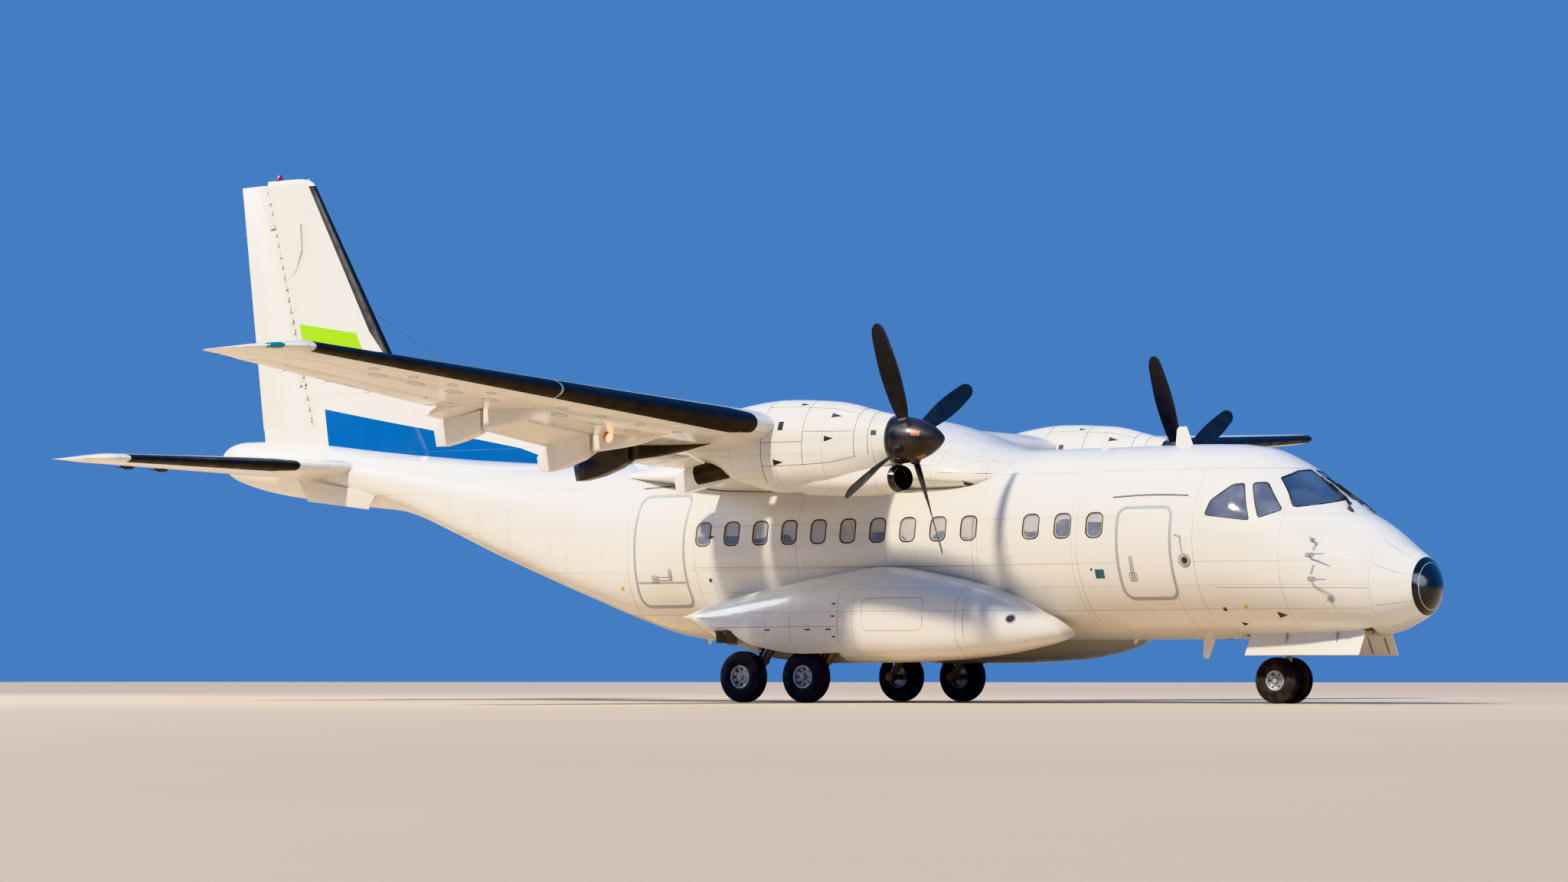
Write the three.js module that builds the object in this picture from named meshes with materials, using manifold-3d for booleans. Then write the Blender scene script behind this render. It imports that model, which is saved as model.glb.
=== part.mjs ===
// Twin-turboprop high-wing airliner with a rear cargo ramp, standing on its landing gear.
// Millimetres. X points forward, Y to port, Z up. The origin is on the ground at mid-length,
// on the centreline. A station is a distance aft of the nose tip.

import * as THREE from 'three';
import * as BufferGeometryUtils from 'three/addons/utils/BufferGeometryUtils.js';
import Module from 'manifold-3d';

const wasm = await Module();
wasm.setup();

// Driving dimensions

const LENGTH = 21400;
const SPAN = 25810;
const HEIGHT = 8180;
const CABIN_HALF_WIDTH = 1450;
const CABIN_BOTTOM = 860;
const CABIN_TOP = 3480;
const CABIN_WIDEST = 2171;

const FIT_GAP = 0.3;
const RUNNING_GAP = 8;
const FAR = 20000;

const WING_CHORD = 3000;
const WING_TIP_CHORD = 1270;
const WING_LEADING_STATION = 7720;
const WING_KINK_Y = 3500;
const WING_TAPER_END_Y = 12200;
const WING_HEIGHT = 3660;
const WING_DIHEDRAL = 0.07;
const WING_SWEEP = 0.092;
const WING_INCIDENCE = 0.075;
const WING_THICKNESS = 0.18;
const WING_CAMBER = 0.02;
const FLAP_FRACTION = 0.73;
const FLAP_DROOP = 12;

const ENGINE_Y = 3500;
const PROPELLER_HEIGHT = 3460;
const PROPELLER_RADIUS = 1675;
const SPINNER_RADIUS = 310;
const SPINNER_FRONT = 5350;
const SPINNER_BACK = 6050;
const BLADE_COUNT = 4;
const ENGINE_RADIUS = 335;
const ENGINE_FRONT = 6500;
const ENGINE_BACK = 7640;
const SHAFT_RADIUS = 60;

const MAIN_TYRE_RADIUS = 355;
const MAIN_TYRE_WIDTH = 230;
const MAIN_RIM_RADIUS = 160;
const MAIN_TRACK_HALF = 1955;
const MAIN_FRONT_STATION = 8665;
const MAIN_REAR_STATION = 9735;
const NOSE_TYRE_RADIUS = 305;
const NOSE_TYRE_WIDTH = 195;
const NOSE_RIM_RADIUS = 135;
const NOSE_WHEEL_OFFSET = 175;
const NOSE_WHEEL_STATION = 2280;
const NOSE_STRUT_STATION = 2200;

const RAMP_FRONT = 12250;
const RAMP_BACK = 15200;
const UPPER_DOOR_BACK = 17400;
const HOLD_WALL = 90;
const RAMP_PLATE = 90;

// Finishes: name, colour, roughness, metalness

const finish = (color, roughness, metalness = 0) =>
  new THREE.MeshStandardMaterial({ color, roughness, metalness });

const WHITE_PAINT = finish(0xf2efe8, 0.25);
const BLACK_RUBBER = finish(0x151515, 0.6);
const TYRE_RUBBER = finish(0x1b1b1c, 0.8);
const DARK_GLASS = finish(0x1a2026, 0.08);
const BARE_METAL = finish(0x9aa0a4, 0.35, 0.9);
const SOOT_BLACK = finish(0x17171a, 0.5);
const SPINNER_BROWN = finish(0x2a2220, 0.4);
const GEAR_GREY = finish(0xb9bbb8, 0.4, 0.3);

// Shape helpers

const forward = station => LENGTH / 2 - station;

function toSolid(geometry) {
  const plain = geometry.clone();
  plain.deleteAttribute('normal');
  plain.deleteAttribute('uv');
  const merged = BufferGeometryUtils.mergeVertices(plain, 1e-3);
  const faces = wholeFaces(merged.index.array);
  const build = order => new wasm.Manifold(new wasm.Mesh({
    numProp: 3,
    vertProperties: new Float32Array(merged.attributes.position.array),
    triVerts: new Uint32Array(order.flat()),
  }));
  const solid = build(faces);
  return solid.volume() < 0 ? build(faces.map(([a, b, c]) => [b, a, c])) : solid;
}

// The faces of an index, without those that collapse on a lathe's axis
function wholeFaces(index) {
  const faces = [];
  for (let corner = 0; corner < index.length; corner += 3) {
    const [a, b, c] = index.slice(corner, corner + 3);
    if (a !== b && b !== c && c !== a) {
      faces.push([a, b, c]);
    }
  }
  return faces;
}

function toGeometry(solid) {
  const mesh = solid.getMesh();
  const geometry = new THREE.BufferGeometry();
  geometry.setAttribute('position', new THREE.BufferAttribute(mesh.vertProperties, 3));
  geometry.setIndex(new THREE.BufferAttribute(mesh.triVerts, 1));
  geometry.computeVertexNormals();
  return geometry;
}

// A closed skin over rings of equal point count, each end closed by a fan about a centre point.
function loft(rings, firstCentre = null, lastCentre = null) {
  const count = rings[0].length;
  const middle = ring => ring.reduce((sum, p) => sum.add(p), new THREE.Vector3()).divideScalar(count);
  const points = rings.flat();
  points.push(firstCentre ?? middle(rings[0]), lastCentre ?? middle(rings[rings.length - 1]));
  const faces = [];
  for (let row = 0; row < rings.length - 1; row += 1) {
    for (let i = 0; i < count; i += 1) {
      const a = row * count + i;
      const b = row * count + (i + 1) % count;
      faces.push(a, b, b + count, a, b + count, a + count);
    }
  }
  const lastRow = (rings.length - 1) * count;
  for (let i = 0; i < count; i += 1) {
    const next = (i + 1) % count;
    faces.push(points.length - 2, next, i);
    faces.push(points.length - 1, lastRow + i, lastRow + next);
  }
  const geometry = new THREE.BufferGeometry().setFromPoints(points);
  geometry.setIndex(faces);
  return toSolid(geometry);
}

// An upright oval ring at a station: an ellipse above its widest height and a squarer one below.
function ovalRing({ station, y = 0, halfWidth, bottom, top, widest, squareness = 2 }, count, inset = 0) {
  const ring = [];
  for (let i = 0; i < count; i += 1) {
    const angle = (i + 0.5) / count * 2 * Math.PI;
    const across = Math.cos(angle);
    const up = Math.sin(angle);
    const power = 2 / (up < 0 ? squareness : 2);
    const reach = up < 0 ? widest - bottom - inset : top - widest - inset;
    ring.push(new THREE.Vector3(
      forward(station),
      y + Math.sign(across) * Math.abs(across) ** power * (halfWidth - inset),
      widest + Math.sign(up) * Math.abs(up) ** power * reach,
    ));
  }
  return ring;
}

// A straight prism of a closed outline, given as [first, second] pairs, between two distances
// along the axis that is left: 'side' outlines are [station, height] and run across,
// 'front' ones are [y, height] and run along, 'plan' ones are [station, y] and run up.
function prism(view, outline, from, to) {
  const place = {
    side: (a, b, c) => new THREE.Vector3(forward(a), c, b),
    front: (a, b, c) => new THREE.Vector3(forward(c), a, b),
    plan: (a, b, c) => new THREE.Vector3(forward(a), b, c),
  }[view];
  return loft([from, to].map(c => outline.map(([a, b]) => place(a, b, c))));
}

const block = (fromStation, toStation, fromY, toY, bottom, top) => prism(
  'side',
  [[fromStation, bottom], [toStation, bottom], [toStation, top], [fromStation, top]],
  fromY,
  toY,
);

// A round bar between two points, with its own radius at each end.
function bar(start, end, startRadius, endRadius = startRadius, sides = 16) {
  const along = end.clone().sub(start);
  const cylinder = new THREE.CylinderGeometry(endRadius, startRadius, along.length(), sides);
  const turn = new THREE.Quaternion().setFromUnitVectors(
    new THREE.Vector3(0, 1, 0),
    along.clone().normalize(),
  );
  cylinder.applyQuaternion(turn);
  cylinder.translate(...start.clone().add(end).multiplyScalar(0.5).toArray());
  return toSolid(cylinder);
}

// A body turned about a line across the aircraft or along it, from [radius, distance] pairs, the
// distance counted to port or forward.
function turned(profile, isAlong, centre, sides) {
  const lathe = new THREE.LatheGeometry(profile.map(([r, d]) => new THREE.Vector2(r, d)), sides);
  if (isAlong) {
    lathe.rotateZ(-Math.PI / 2);
  }
  lathe.translate(...centre.toArray());
  return toSolid(lathe);
}

const largest = solid => solid.decompose().sort((a, b) => b.volume() - a.volume())[0];
const point = (station, y, z) => new THREE.Vector3(forward(station), y, z);

const SPANWISE = new THREE.Vector3(0, 1, 0);
const aircraft = new THREE.Group();

function addPiece(name, solid, material) {
  const mesh = new THREE.Mesh(toGeometry(solid), material);
  mesh.name = name;
  aircraft.add(mesh);
}

// Fuselage sections: station, half width, bottom, top, widest height, squareness of the belly

const FUSELAGE_POINTS = 32;
const SIDE_BODY_POINTS = 20;
const NOSE_TIP = point(0, 0, 1520);
const TAIL_TIP = point(LENGTH, 0, 3800);
const FUSELAGE_SECTIONS = [
  [15, 150, 1375, 1670, 1523, 2],
  [55, 280, 1245, 1800, 1523, 2],
  [160, 440, 1145, 1910, 1528, 2],
  [340, 570, 1045, 2040, 1545, 2],
  [620, 740, 930, 2262, 1600, 2],
  [860, 860, 885, 2425, 1665, 2],
  [1080, 960, 870, 2545, 1730, 2],
  [1300, 1050, 863, 2715, 1800, 2],
  [1560, 1145, 860, 2905, 1880, 2],
  [1830, 1235, 860, 3095, 1960, 2],
  [2120, 1310, 860, 3265, 2040, 2],
  [2450, 1375, 860, 3400, 2110, 2],
  [2900, 1425, 860, 3460, 2150, 2],
  [3600, CABIN_HALF_WIDTH, CABIN_BOTTOM, CABIN_TOP, CABIN_WIDEST, 2],
  [11300, CABIN_HALF_WIDTH, CABIN_BOTTOM, CABIN_TOP, CABIN_WIDEST, 2],
  [11900, 1440, 935, 3480, 2210, 2.4],
  [12400, 1420, 1115, 3482, 2290, 3],
  [13000, 1370, 1350, 3490, 2420, 3.6],
  [14000, 1280, 1720, 3515, 2640, 4],
  [15000, 1180, 2085, 3560, 2850, 4],
  [16000, 1080, 2470, 3630, 3050, 3.6],
  [16800, 1000, 2750, 3700, 3220, 3],
  [17400, 940, 2880, 3765, 3330, 2.6],
  [18200, 850, 2968, 3860, 3440, 2.4],
  [19150, 690, 3080, 3970, 3560, 2.2],
  [20100, 500, 3210, 4050, 3650, 2],
  [20900, 310, 3400, 4060, 3740, 2],
  [21250, 170, 3560, 3990, 3780, 2],
].map(([station, halfWidth, bottom, top, widest, squareness]) => ({
  station, halfWidth, bottom, top, widest, squareness,
}));

function fuselageSkin(inset = 0, sections = FUSELAGE_SECTIONS) {
  const rings = sections.map(section => ovalRing(section, FUSELAGE_POINTS, inset));
  const isWhole = sections === FUSELAGE_SECTIONS;
  return isWhole ? loft(rings, NOSE_TIP, TAIL_TIP) : loft(rings);
}

const sectionsBetween = (from, to) =>
  FUSELAGE_SECTIONS.filter(section => section.station >= from && section.station <= to);

const skin = fuselageSkin();

// Rear hold: opening in the belly, closed by a ramp hinged at its front edge and by an upper
// door hinged at its back edge

const OPENING_FRONT_HALF = 1060;
const OPENING_BACK_HALF = 640;
const OPENING_TAPER_START = RAMP_FRONT + 700;
const OPENING_BACK = UPPER_DOOR_BACK - 52;
const HOLD_BACK = UPPER_DOOR_BACK - 20;
const HOLD_TOP = 3300;
const PARTING_LEAN = 0.4;
const holdSections = sectionsBetween(11900, 18200);

function openingPrism(clearance) {
  const front = OPENING_FRONT_HALF - clearance;
  const back = OPENING_BACK_HALF - clearance;
  return prism('plan', [
    [RAMP_FRONT + clearance, -front],
    [OPENING_TAPER_START, -front],
    [OPENING_BACK - clearance, -back],
    [OPENING_BACK - clearance, back],
    [OPENING_TAPER_START, front],
    [RAMP_FRONT + clearance, front],
  ], 0, HOLD_TOP);
}

function bellyHeight(station) {
  const after = FUSELAGE_SECTIONS.findIndex(section => section.station >= station);
  const [a, b] = [FUSELAGE_SECTIONS[after - 1], FUSELAGE_SECTIONS[after]];
  const fraction = (station - a.station) / (b.station - a.station);
  return a.bottom + fraction * (b.bottom - a.bottom);
}

// The parting face leans forward, square to the ways the two leaves swing
function partingPrism(fromStation, toStation) {
  const belly = bellyHeight(RAMP_BACK);
  const at = (station, z) => [station - PARTING_LEAN * (z - belly), z];
  return prism('side', [
    at(fromStation, 0), at(toStation, 0), at(toStation, HOLD_TOP), at(fromStation, HOLD_TOP),
  ], -FAR, FAR);
}

const holdSpace = fuselageSkin(HOLD_WALL, holdSections)
  .intersect(block(RAMP_FRONT, HOLD_BACK, -FAR, FAR, 0, FAR));
const leafLayer = skin.subtract(fuselageSkin(RAMP_PLATE, holdSections)).intersect(openingPrism(RUNNING_GAP));
const ramp = leafLayer.intersect(partingPrism(RAMP_FRONT - 2000, RAMP_BACK - RUNNING_GAP / 2));
const upperDoor = leafLayer.intersect(partingPrism(RAMP_BACK + RUNNING_GAP / 2, UPPER_DOOR_BACK + 2000));
const bellyOpening = openingPrism(0);

// Aerofoils: outlines of [share of the chord, rise as a share of the chord]

const AEROFOIL_SHARES = [0, 0.015, 0.06, 0.16, 0.32, 0.52, 0.76, 1];
const NOSE_STEPS = 4;

function surfaceAt(share, { thickness, camber = 0 }) {
  const half = 5 * thickness * (0.2969 * Math.sqrt(share) - 0.126 * share - 0.3516 * share ** 2
    + 0.2843 * share ** 3 - 0.1 * share ** 4);
  const middle = 4 * camber * share * (1 - share);
  return { upper: middle + half, lower: middle - half, middle, half };
}

function aerofoilOutline(place) {
  const upper = AEROFOIL_SHARES.map(share => [share, surfaceAt(share, place).upper]);
  const lower = AEROFOIL_SHARES.map(share => [share, surfaceAt(share, place).lower]);
  return [...upper, ...lower.reverse().slice(0, -1)];
}

// The part of an aerofoil behind a hinge, with a round nose about that hinge
function tailOutline(place, hingeShare) {
  const { middle, half } = surfaceAt(hingeShare, place);
  const outline = [];
  for (let step = 0; step <= NOSE_STEPS; step += 1) {
    const angle = Math.PI / 2 + step / NOSE_STEPS * Math.PI;
    outline.push([hingeShare + half * Math.cos(angle), middle + half * Math.sin(angle)]);
  }
  const behind = [1 / 3, 2 / 3, 1].map(step => hingeShare + step * (1 - hingeShare));
  for (const share of behind) {
    outline.push([share, surfaceAt(share, place).lower]);
  }
  for (const share of behind.reverse()) {
    outline.push([share, surfaceAt(share, place).upper]);
  }
  return outline;
}

// A place gives the leading station, chord, height and incidence of one section
const levelPoint = ({ leading, chord, height, incidence = 0 }, y, share, rise) =>
  point(leading + share * chord, y, height + (rise - incidence * share) * chord);
const levelRing = (outline, place, y) => outline.map(([share, rise]) => levelPoint(place, y, share, rise));
const uprightRing = (outline, { leading, chord }, z) =>
  outline.map(([share, rise]) => point(leading + share * chord, rise * chord, z));

// A cut that frees the room behind a line on a surface, between two y, seen from above
function cutBehind(stationAt, fromY, toY) {
  const behind = 6000;
  return prism('plan', [
    [stationAt(fromY), fromY],
    [stationAt(toY), toY],
    [stationAt(toY) + behind, toY],
    [stationAt(fromY) + behind, fromY],
  ], 0, FAR);
}

// Hinges: a tongue on the fixed piece ends in a round eye in a notch of the moving piece, and
// the moving piece's pin goes through the eye

const TONGUE_HALF = 12;
const TONGUE_HEIGHT = 24;
const EYE_RADIUS = 34;
const PIN_RADIUS = 10;
const PIN_CLEARANCE = 0.95;
const HINGE_SIDES = 8;
const NOTCH_HALF_HEIGHT = 150;

function orientedBox(at, ahead, across, low, high) {
  const up = new THREE.Vector3().crossVectors(ahead, across);
  const size = high.clone().sub(low);
  const middle = low.clone().add(high).multiplyScalar(0.5);
  const geometry = new THREE.BoxGeometry(...size.toArray());
  geometry.translate(...middle.toArray());
  geometry.applyMatrix4(new THREE.Matrix4().makeBasis(ahead, across, up).setPosition(at));
  return toSolid(geometry);
}

function hinge(at, axis, reach, aheadHint = new THREE.Vector3(1, 0, 0)) {
  const across = axis.clone().normalize();
  const ahead = aheadHint.clone().addScaledVector(across, -aheadHint.dot(across)).normalize();
  const beside = distance => at.clone().addScaledVector(across, distance);
  const corner = (x, y, z) => new THREE.Vector3(x, y, z);
  const pinHalf = TONGUE_HALF + 15;
  const eye = bar(beside(-TONGUE_HALF), beside(TONGUE_HALF), EYE_RADIUS, EYE_RADIUS, HINGE_SIDES);
  const arm = orientedBox(
    at, ahead, across,
    corner(0, -TONGUE_HALF, -TONGUE_HEIGHT), corner(reach, TONGUE_HALF, TONGUE_HEIGHT),
  );
  const boreRadius = PIN_RADIUS + PIN_CLEARANCE;
  const bore = bar(beside(-2 * TONGUE_HALF), beside(2 * TONGUE_HALF), boreRadius, boreRadius, HINGE_SIDES);
  const notch = orientedBox(
    at, ahead, across,
    corner(-EYE_RADIUS - RUNNING_GAP, -TONGUE_HALF - 5, -NOTCH_HALF_HEIGHT),
    corner(3 * reach, TONGUE_HALF + 5, NOTCH_HALF_HEIGHT),
  );
  const pin = bar(beside(-pinHalf), beside(pinHalf), PIN_RADIUS, PIN_RADIUS, HINGE_SIDES);
  return { tongue: eye.add(arm).subtract(bore), notch, pin };
}

// Wing

function wingPlace(y) {
  const out = Math.max(0, Math.abs(y) - WING_KINK_Y);
  const taper = out / (WING_TAPER_END_Y - WING_KINK_Y);
  return {
    leading: WING_LEADING_STATION + WING_SWEEP * out,
    chord: WING_CHORD + (WING_TIP_CHORD - WING_CHORD) * taper,
    height: WING_HEIGHT + WING_DIHEDRAL * out,
    thickness: WING_THICKNESS - 0.04 * taper,
    camber: WING_CAMBER,
    incidence: WING_INCIDENCE,
  };
}

const wingUnderside = (y, share) => {
  const place = wingPlace(y);
  return levelPoint(place, y, share, surfaceAt(share, place).lower);
};
const stationOf = position => LENGTH / 2 - position.x;

// Wing tip beyond the taper: y, leading station, trailing station, share of the thickness
const WING_TIP_SECTIONS = [
  [12460, 8700, 9745, 0.75],
  [12720, 9060, 9720, 0.5],
  [SPAN / 2, 9540, 9700, 0.3],
];

function wingTipRings(side) {
  const end = wingPlace(WING_TAPER_END_Y);
  return WING_TIP_SECTIONS.map(([y, leading, trailing, share]) => {
    const place = {
      ...end,
      leading,
      chord: trailing - leading,
      height: WING_HEIGHT + WING_DIHEDRAL * (y - WING_KINK_Y) - end.incidence * (leading - end.leading),
      thickness: end.thickness * share,
    };
    return levelRing(aerofoilOutline(place), place, side * y);
  });
}

function swollen(place) {
  const room = 0.5;
  return {
    ...place,
    leading: place.leading - room,
    chord: place.chord + 2 * room,
    thickness: place.thickness + 2 * room / WING_TIP_CHORD,
  };
}

const wingRings = (ys, change = place => place) => ys.map(y => {
  const place = change(wingPlace(y));
  return levelRing(aerofoilOutline(place), place, y);
});
const WING_BREAK_Y = 8000;
const wingRoom = [[-WING_KINK_Y, WING_KINK_Y], [WING_KINK_Y, WING_BREAK_Y], [-WING_KINK_Y, -WING_BREAK_Y]]
  .map(ys => loft(wingRings(ys, swollen)))
  .reduce((sum, solid) => sum.add(solid));
const wing = { center: loft(wingRings([-WING_KINK_Y, WING_KINK_Y])) };

// Flaps: name, inner and outer y, y where the straight pivot line ends, y of the fairings that
// hold it. They are built retracted and then turned down about their low pivots.

const FLAP_CUT_SHARE = FLAP_FRACTION - 0.06;
const FLAP_END_GAP = 20;
const PIVOT_SHARE = 0.735;
const PIVOT_DROP = 400;
const FLAPS = [
  ['flap_inner', 1530, 4200, WING_KINK_Y, [1950]],
  ['flap_outer', 4250, 8140, 8140, [4340, 5250, 7680]],
];

const flapPivot = y => {
  const { leading, chord, height } = wingPlace(y);
  return point(leading + PIVOT_SHARE * chord, y, height - PIVOT_DROP);
};

function droop(position, pivot, axis) {
  const angle = -THREE.MathUtils.degToRad(FLAP_DROOP);
  return position.clone().sub(pivot).applyAxisAngle(axis, angle).add(pivot);
}

// The boat of a flap fairing: bottom and back as [station, height] from the flap's trailing edge
const BOAT_HALF_WIDTH = 85;
const BOAT_BOTTOM = [[-590, -180], [-300, -270], [0, -330]];
const BOAT_TAIL = [[170, -335], [215, -130], [-60, 10]];
const BOAT_SHOULDER = [[60, -330], [60, -40], [-60, 10]];
const KEEL_LAP = 75;
const KEEL_SINK = 40;

function fairingBoat(pivot, trailing) {
  const front = stationOf(pivot) - 20;
  const end = stationOf(trailing);
  const outline = back => [
    [front, pivot.z + 220],
    [front, pivot.z - 35],
    ...[...BOAT_BOTTOM, ...back].map(([s, z]) => [end + s, trailing.z + z]),
  ];
  const rings = [[-1, BOAT_SHOULDER], [0, BOAT_TAIL], [1, BOAT_SHOULDER]].map(([side, back]) =>
    outline(back).map(([s, z]) => point(s, pivot.y + side * BOAT_HALF_WIDTH, z)));
  return loft(rings);
}

function fairingKeel(y) {
  const pivot = flapPivot(y);
  const back = stationOf(pivot) - KEEL_LAP;
  const front = wingUnderside(y, 0.28);
  const middle = wingUnderside(y, 0.5);
  const root = wingUnderside(y, 0.6);
  return prism('side', [
    [stationOf(front), front.z + KEEL_SINK],
    [stationOf(middle), pivot.z + 20],
    [back, pivot.z - 35],
    [back, root.z - KEEL_SINK],
    [stationOf(root), root.z + KEEL_SINK],
  ], y - BOAT_HALF_WIDTH, y + BOAT_HALF_WIDTH);
}

const AILERON_Y = [8330, 12100];
const AILERON_SHARE = 0.76;
const AILERON_CUT_SHARE = AILERON_SHARE - 0.05;
const AILERON_HINGE_INSET = 500;
const SIDES = [['left', 1], ['right', -1]];
const chordStation = share => y => {
  const { leading, chord } = wingPlace(y);
  return leading + share * chord;
};

for (const [sideName, side] of SIDES) {
  const bodyRings = wingRings([WING_KINK_Y + FIT_GAP, WING_BREAK_Y, WING_TAPER_END_Y].map(y => side * y));
  wing[sideName] = loft([...bodyRings, ...wingTipRings(side)]);
  for (const [flapName, inner, outer, lineEnd, fairings] of FLAPS) {
    const cut = cutBehind(
      chordStation(FLAP_CUT_SHARE), side * (inner - FLAP_END_GAP), side * (outer + FLAP_END_GAP),
    );
    wing[sideName] = wing[sideName].subtract(cut);
    wing.center = wing.center.subtract(cut);
    const linePoint = flapPivot(side * inner);
    const axis = flapPivot(side * lineEnd).sub(linePoint).normalize().multiplyScalar(side);
    const rings = [inner, outer].map(y => {
      const place = wingPlace(y);
      return levelRing(tailOutline(place, FLAP_FRACTION), place, side * y)
        .map(position => droop(position, linePoint, axis));
    });
    let flap = loft(rings);
    for (const y of fairings) {
      const pivot = flapPivot(side * y);
      const trailing = droop(levelPoint(wingPlace(y), side * y, 1, 0), linePoint, axis);
      const carrier = y < WING_KINK_Y ? 'center' : sideName;
      const { tongue, notch, pin } = hinge(pivot, axis, 150);
      flap = flap.add(fairingBoat(pivot, trailing)).subtract(notch).add(pin);
      wing[carrier] = wing[carrier].add(fairingKeel(side * y)).add(tongue);
    }
    addPiece(`${flapName}_${sideName}`, largest(flap), WHITE_PAINT);
  }

  wing[sideName] = wing[sideName].subtract(cutBehind(
    chordStation(AILERON_CUT_SHARE), side * (AILERON_Y[0] - FLAP_END_GAP), side * (AILERON_Y[1] + FLAP_END_GAP),
  ));
  let aileron = loft(AILERON_Y.map(y => levelRing(tailOutline(wingPlace(y), AILERON_SHARE), wingPlace(y), side * y)));
  const hingePoint = y => {
    const place = wingPlace(y);
    return levelPoint(place, side * y, AILERON_SHARE, surfaceAt(AILERON_SHARE, place).middle);
  };
  const axis = hingePoint(AILERON_Y[1]).sub(hingePoint(AILERON_Y[0]));
  for (const y of [AILERON_Y[0] + AILERON_HINGE_INSET, AILERON_Y[1] - AILERON_HINGE_INSET]) {
    const { tongue, notch, pin } = hinge(hingePoint(y), axis, 0.09 * wingPlace(y).chord);
    aileron = aileron.subtract(notch).add(pin);
    wing[sideName] = wing[sideName].add(tongue);
  }
  addPiece(`wing_${sideName}`, largest(wing[sideName]), WHITE_PAINT);
  addPiece(`aileron_${sideName}`, largest(aileron), WHITE_PAINT);
}
addPiece('wing_center', largest(wing.center), WHITE_PAINT);

// Fuselage: cockpit glass and doors are let into its skin

const PANE_DEPTH = 25;
const DOOR_DEPTH = 45;
const EDGE_GAP = 4;

// Windscreen panes as [y, height] seen from the front, side panes as [station, height]
const WINDSCREEN = [[45, 2575], [45, 3065], [330, 3045], [700, 2915], [900, 2580], [480, 2555]];
const SIDE_PANE_FRONT = [[1660, 2520], [1850, 2845], [2065, 2860], [2060, 2455]];
const SIDE_PANE_REAR = [[2110, 2855], [2235, 2850], [2740, 2500], [2105, 2395]];

// Doors: name, side, front and back station, bottom, top
const DOORS = [
  ['door_front_right', -1, 3160, 4010, 1370, 2610],
  ['door_front_left', 1, 3110, 3840, 1180, 2880],
  ['door_rear_right', -1, 11150, 12080, 1340, 2960],
  ['door_rear_left', 1, 11150, 12080, 1340, 2960],
];
const DOOR_CORNER = 150;

const roundedOutline = (front, back, bottom, top, radius) => {
  const corners = [[front, bottom, 1, 1], [back, bottom, -1, 1], [back, top, -1, -1], [front, top, 1, -1]];
  const turns = [Math.PI, Math.PI * 1.5, 0, Math.PI / 2];
  return corners.flatMap(([s, z, inS, inZ], i) => [0, 1, 2].map(step => {
    const angle = turns[i] + step * Math.PI / 4;
    return [s + inS * radius + radius * Math.cos(angle), z + inZ * radius + radius * Math.sin(angle)];
  }));
};

function grown(outline, amount) {
  const shape = outline.map(([a, b]) => new THREE.Vector2(a, b));
  const area = THREE.ShapeUtils.area(shape);
  return shape.map((corner, i) => {
    const before = shape[(i + shape.length - 1) % shape.length];
    const after = shape[(i + 1) % shape.length];
    const first = corner.clone().sub(before).normalize();
    const second = after.clone().sub(corner).normalize();
    const outward = new THREE.Vector2(first.y + second.y, -first.x - second.x);
    const stretch = outward.lengthSq() / 2;
    outward.divideScalar(stretch).multiplyScalar(Math.sign(area) * amount);
    return [corner.x + outward.x, corner.y + outward.y];
  });
}

let fuselage = skin;

function letIn(name, view, outline, from, to, depth, material) {
  const core = fuselageSkin(depth);
  const seat = fuselageSkin(depth + FIT_GAP);
  addPiece(name, largest(skin.intersect(prism(view, outline, from, to)).subtract(core)), material);
  fuselage = fuselage.subtract(prism(view, grown(outline, EDGE_GAP), from, to).subtract(seat));
}

for (const [sideName, side] of SIDES) {
  const mirrored = WINDSCREEN.map(([y, z]) => [side * y, z]);
  const outside = 1700;
  letIn(`windscreen_${sideName}`, 'front', mirrored, 900, 2100, PANE_DEPTH, DARK_GLASS);
  letIn(`side_pane_front_${sideName}`, 'side', SIDE_PANE_FRONT, side * 700, side * outside, PANE_DEPTH, DARK_GLASS);
  letIn(`side_pane_rear_${sideName}`, 'side', SIDE_PANE_REAR, side * 700, side * outside, PANE_DEPTH, DARK_GLASS);
}
for (const [name, side, front, back, bottom, top] of DOORS) {
  const outline = roundedOutline(front, back, bottom, top, DOOR_CORNER);
  letIn(name, 'side', outline, side * 500, side * 1700, DOOR_DEPTH, WHITE_PAINT);
}

const NOSE_BAY = { front: 750, back: 2650, halfWidth: 400, roof: 1350 };
fuselage = fuselage
  .subtract(block(NOSE_BAY.front, NOSE_BAY.back, -NOSE_BAY.halfWidth, NOSE_BAY.halfWidth, 0, NOSE_BAY.roof))
  .subtract(wingRoom)
  .subtract(holdSpace)
  .subtract(bellyOpening);

// Hinges of the ramp and the upper door: the fuselage's tongue goes between two cheeks of the leaf
const CHEEK_RADIUS = 20;
const CHEEK_WIDTH = 20;
const RAMP_HINGE = {
  station: RAMP_FRONT + 12, z: 1070, ys: [-600, 600], ahead: 1, bracket: [12262, 12322, 1055, 1150],
};
const UPPER_DOOR_HINGE = {
  station: OPENING_BACK - 13, z: 3035, ys: [-450, 450], ahead: -1, bracket: [17275, 17335, 2960, 3050],
};

function hangLeaf(leaf, { station, z, ys, ahead, bracket: [front, back, bottom, top] }) {
  let hung = leaf;
  for (const y of ys) {
    const at = point(station, y, z);
    const { tongue, notch, pin } = hinge(at, SPANWISE, 80, new THREE.Vector3(ahead, 0, 0));
    hung = hung.subtract(notch).add(pin);
    for (const side of [-1, 1]) {
      const near = y + side * (TONGUE_HALF + 5);
      const far = near + side * CHEEK_WIDTH;
      hung = hung
        .add(bar(point(station, near, z), point(station, far, z), CHEEK_RADIUS, CHEEK_RADIUS, HINGE_SIDES))
        .add(block(front, back, near, far, bottom, top));
    }
    fuselage = fuselage.add(tongue);
  }
  return hung;
}

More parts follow.
